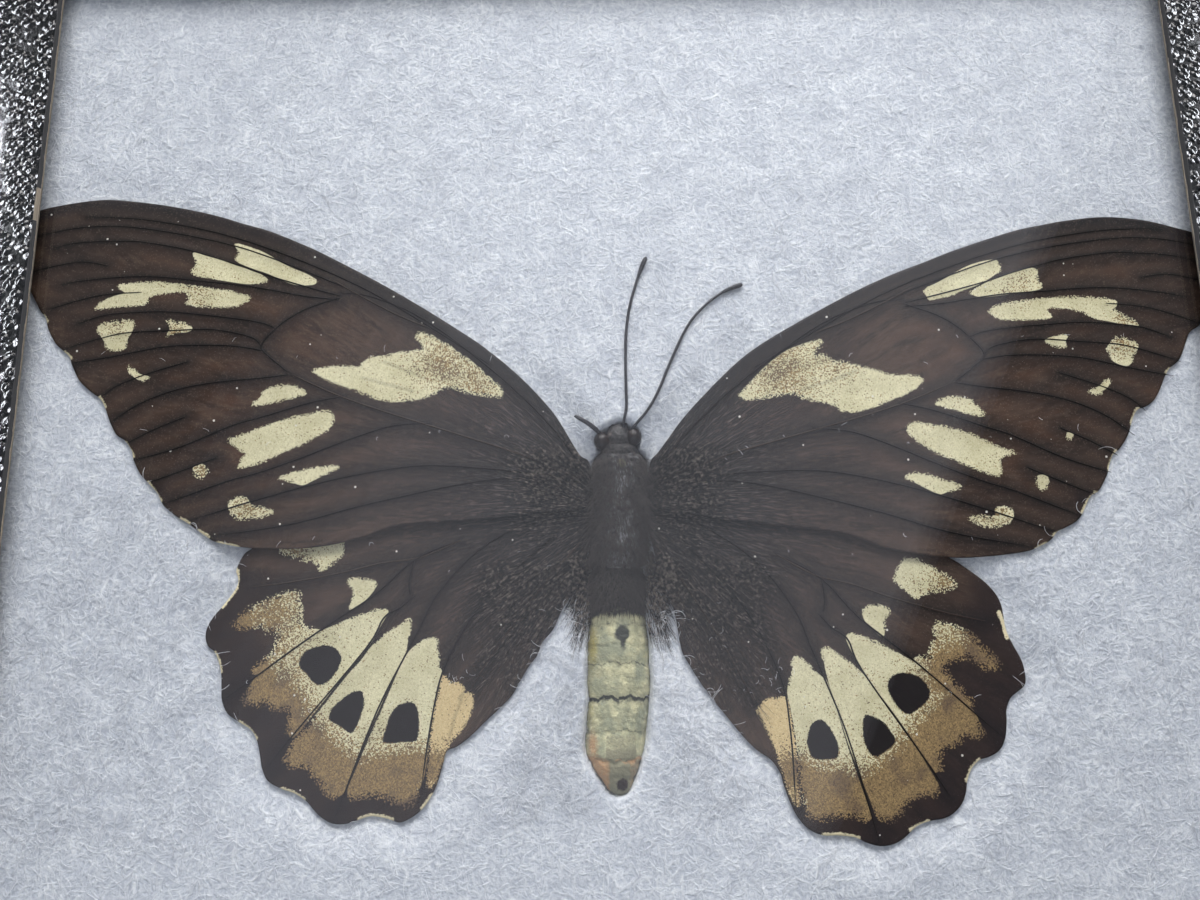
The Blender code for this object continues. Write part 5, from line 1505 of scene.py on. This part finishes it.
# %% Antennae and foreleg
ANTENNA_LEFT = [(1.0, 11.6, 14.6), (1.2, 13.0, 15.5), (1.6, 15, 15.8), (1.6, 18, 15.85), (1.6, 23.2, 15.85),
                (1.8, 27.6, 15.85), (2.5, 32, 15.85), (4, 37, 15.85), (5.2, 39.9, 15.85)]
ANTENNA_RIGHT = [(2.2, 11.4, 14.6), (3.3, 12.6, 15.5), (5.0, 14.6, 15.8), (6.7, 17.6, 15.85), (8.8, 22.5, 15.85),
                 (11.6, 28.2, 15.85), (14.5, 31.6, 15.85), (17.6, 33.9, 15.85), (20.6, 35.1, 15.85)]
JOINTS = 58
RINGS_PER_JOINT = 4
antenna_chitin, tree, shader = new_material("black jointed chitin")
place = add(tree, "TexCoord").outputs["Object"]
bloom = noise(tree, place, 2500.0, 2.0)
horn = mix(tree, bloom, "#141318", "#3b3a40")
plug(shader, {"Base Color": horn, "Roughness": 0.4})
t = np.linspace(0, 1, JOINTS * RINGS_PER_JOINT + 1)
swell = 1 + 0.13 * (t * JOINTS % 1)
thickness = 0.215 * swell * (1 + 0.62 * ease_up(t, 0.86, 0.95)) * np.sqrt(np.clip((1.004 - t) * 60, 0, 1))
for side, route in (("left", ANTENNA_LEFT), ("right", ANTENNA_RIGHT)):
    path = spread_along(smooth(route), len(t))
    antenna = make_strands(f"jointed_antenna_{side}", [path], [thickness], 10)
    dress(antenna, antenna_chitin)
    belongs(antenna, "dark_body", f"antenna_{side}")
FORELEG = [(-2.6, 11.1, 14.4), (-3.4, 11.8, 15.2), (-4.6, 12.6, 15.75), (-5.8, 13.3, 15.9), (-6.5, 13.7, 15.95)]
leg_path = spread_along(smooth(FORELEG), 24)
leg_thickness = np.interp(np.arange(24), [0, 4, 12, 20, 23], [0.30, 0.38, 0.36, 0.33, 0.20])
foreleg = make_strands("foreleg_stub", [leg_path], [leg_thickness], 10)
dress(foreleg, antenna_chitin)
belongs(foreleg, "dark_body", "foreleg_left")

# %% [markdown]
# Fur is what makes an insect's body look like one. Dark hairs up to 3 mm long lie back along the thorax and over
# the wing roots, shorter ones cover the front of the abdomen, and long silky ones edge the hindwings beside it.

# %% Body fur
fur, tree, shader = new_material("dark body hair")
place = add(tree, "TexCoord").outputs["Object"]
tone = noise(tree, place, 2200.0, 1.0)
hair = mix(tree, tone, "#141112", "#5e544e")
plug(shader, {"Base Color": hair, "Roughness": 0.5})
HAIR_STEPS = 5


def fur_on(name, rings, level, number, y_range, length_range, lean):
    """Hairs that stand on a rounded body and lean back along it by a share of their length."""
    line = spread_along(smooth(rings), 400)
    y0 = rng.uniform(*y_range, number)
    turn = rng.uniform(0.02, 0.98, number) * math.pi
    order = np.argsort(line[:, 0])
    left, right = (np.interp(y0, line[order, 0], line[order, i]) for i in (1, 2))
    half = (right - left) / 2
    out = np.stack([np.cos(turn), np.zeros(number), np.sin(turn)], axis=1)
    root = np.stack([(left + right) / 2 + half * out[:, 0], y0, level + half * FLATTENING * out[:, 2]], axis=1)
    aim = out * (1 - lean) + np.array([0, -lean, 0]) + rng.normal(0, 0.22, (number, 3))
    aim /= np.linalg.norm(aim, axis=1, keepdims=True)
    length = rng.uniform(*length_range, number)
    t = np.linspace(-0.06, 1, HAIR_STEPS)
    paths = root[:, None] + aim[:, None] * (length[:, None] * t)[:, :, None]
    paths[:, :, 1] -= 0.25 * length[:, None] * np.maximum(t, 0) ** 2
    paths[:, :, 2] = np.minimum(paths[:, :, 2], 16.15)
    radii = rng.uniform(0.02, 0.038, number)[:, None] * np.array([0.9, 1, 0.9, 0.6, 0.2])
    made = make_strands(name, paths, radii, 3)
    dress(made, fur)
    belongs(made, "dark_body")


fur_on("thorax_fur", THORAX_RINGS, THORAX_LEVEL, 4000, (-9.5, 8.9), (0.6, 1.9), 0.72)
fur_on("abdomen_fur", ABDOMEN_RINGS, ABDOMEN_LEVEL, 2600, (-16.6, -9.2), (0.5, 1.4), 0.8)
fur_on("abdomen_side_fur", ABDOMEN_RINGS, ABDOMEN_LEVEL, 800, (-16.0, -9.2), (1.2, 2.8), 0.5)
SKULL_RINGS = [(12.5, -0.4, 1.1), (11.4, -1.5, 2.1), (9.8, -2.0, 2.5), (8.0, -2.5, 3.2)]
fur_on("head_fur", SKULL_RINGS, 13.25, 600, (7.7, 12.2), (0.3, 0.8), 0.6)
fur_on("thorax_side_fur", THORAX_RINGS, THORAX_LEVEL, 1600, (-9.5, 7.5), (1.6, 3.4), 0.42)


# %% [markdown]
# Long silky hairs lie flat over the wings' roots, along the hindwings' inner edges and beside the abdomen. They all
# point away from the root of the wings, so one rule lays them: the heading is the way out from there, give or take.

# %% Silky hairs
silky, tree, shader = new_material("brown silky hair")
place = add(tree, "TexCoord").outputs["Object"]
tone = noise(tree, place, 1900.0, 2.0)
faded = stretch(tree, tone, (0.45, 0.75))
hair = mix(tree, faded, "#171213", "#9c8f84")
plug(shader, {"Base Color": hair, "Roughness": 0.5, "Specular IOR Level": 0.3})
HAIR_ZONES = [((3.4, -8), (12, 6), 700, (2.5, 7.5)), ((5, -32), (20, -8), 1000, (1.8, 5.5)),
              ((3.6, -20), (6.6, -7), 1300, (1.0, 4.2))]
starts, lengths = [], []
for low, high, number, length_range in HAIR_ZONES:
    for side in (-1, 1):
        spots = rng.uniform(low, high, (number, 2))
        spots[:, 0] = side * spots[:, 0] + 0.3
        spots[:, 1] = low[1] + (high[1] - low[1]) * np.sqrt((spots[:, 1] - low[1]) / (high[1] - low[1]))
        starts.append(spots)
        lengths.append(rng.uniform(*length_range, number))
starts, lengths = np.concatenate(starts), np.concatenate(lengths)
in_any = np.max([depth_inside(starts, ring) for ring in wing_rings], axis=0)
kept = (in_any > 0.1) | ((np.abs(starts[:, 0] - 0.3) < 6.6) & (starts[:, 1] > -20))
starts, lengths = starts[kept], lengths[kept]
headings = np.arctan2(starts[:, 1] + 1.5, starts[:, 0] - 0.3) + rng.normal(0, 0.14, len(starts))
HAIR_POINTS = 7
paths = curved_paths(starts, headings, lengths, rng.normal(0, 0.35, len(starts)), HAIR_POINTS)
heights, on_film = top_under(paths.reshape(-1, 2))
heights = heights.reshape(len(starts), HAIR_POINTS)
lift = rng.uniform(0.05, 0.35, len(starts))[:, None] * np.sin(math.pi * np.linspace(0.1, 1, HAIR_POINTS))
heights = np.minimum(np.maximum(heights, heights.mean(axis=1, keepdims=True)) + 0.05 + lift, STRAND_CEILING)
radii = rng.uniform(0.018, 0.034, len(starts))[:, None] * np.array([0.8, 1, 1, 0.9, 0.8, 0.6, 0.2])
beside_body = (np.abs(starts[:, 0] - 0.3) < 6.7) & (starts[:, 1] < -7)
kept = on_film.reshape(len(starts), HAIR_POINTS).all(axis=1) | beside_body
silky_hairs = make_strands("silky_hairs", np.dstack([paths, heights])[kept], radii[kept], 3)
dress(silky_hairs, silky)
belongs(silky_hairs, "wing")
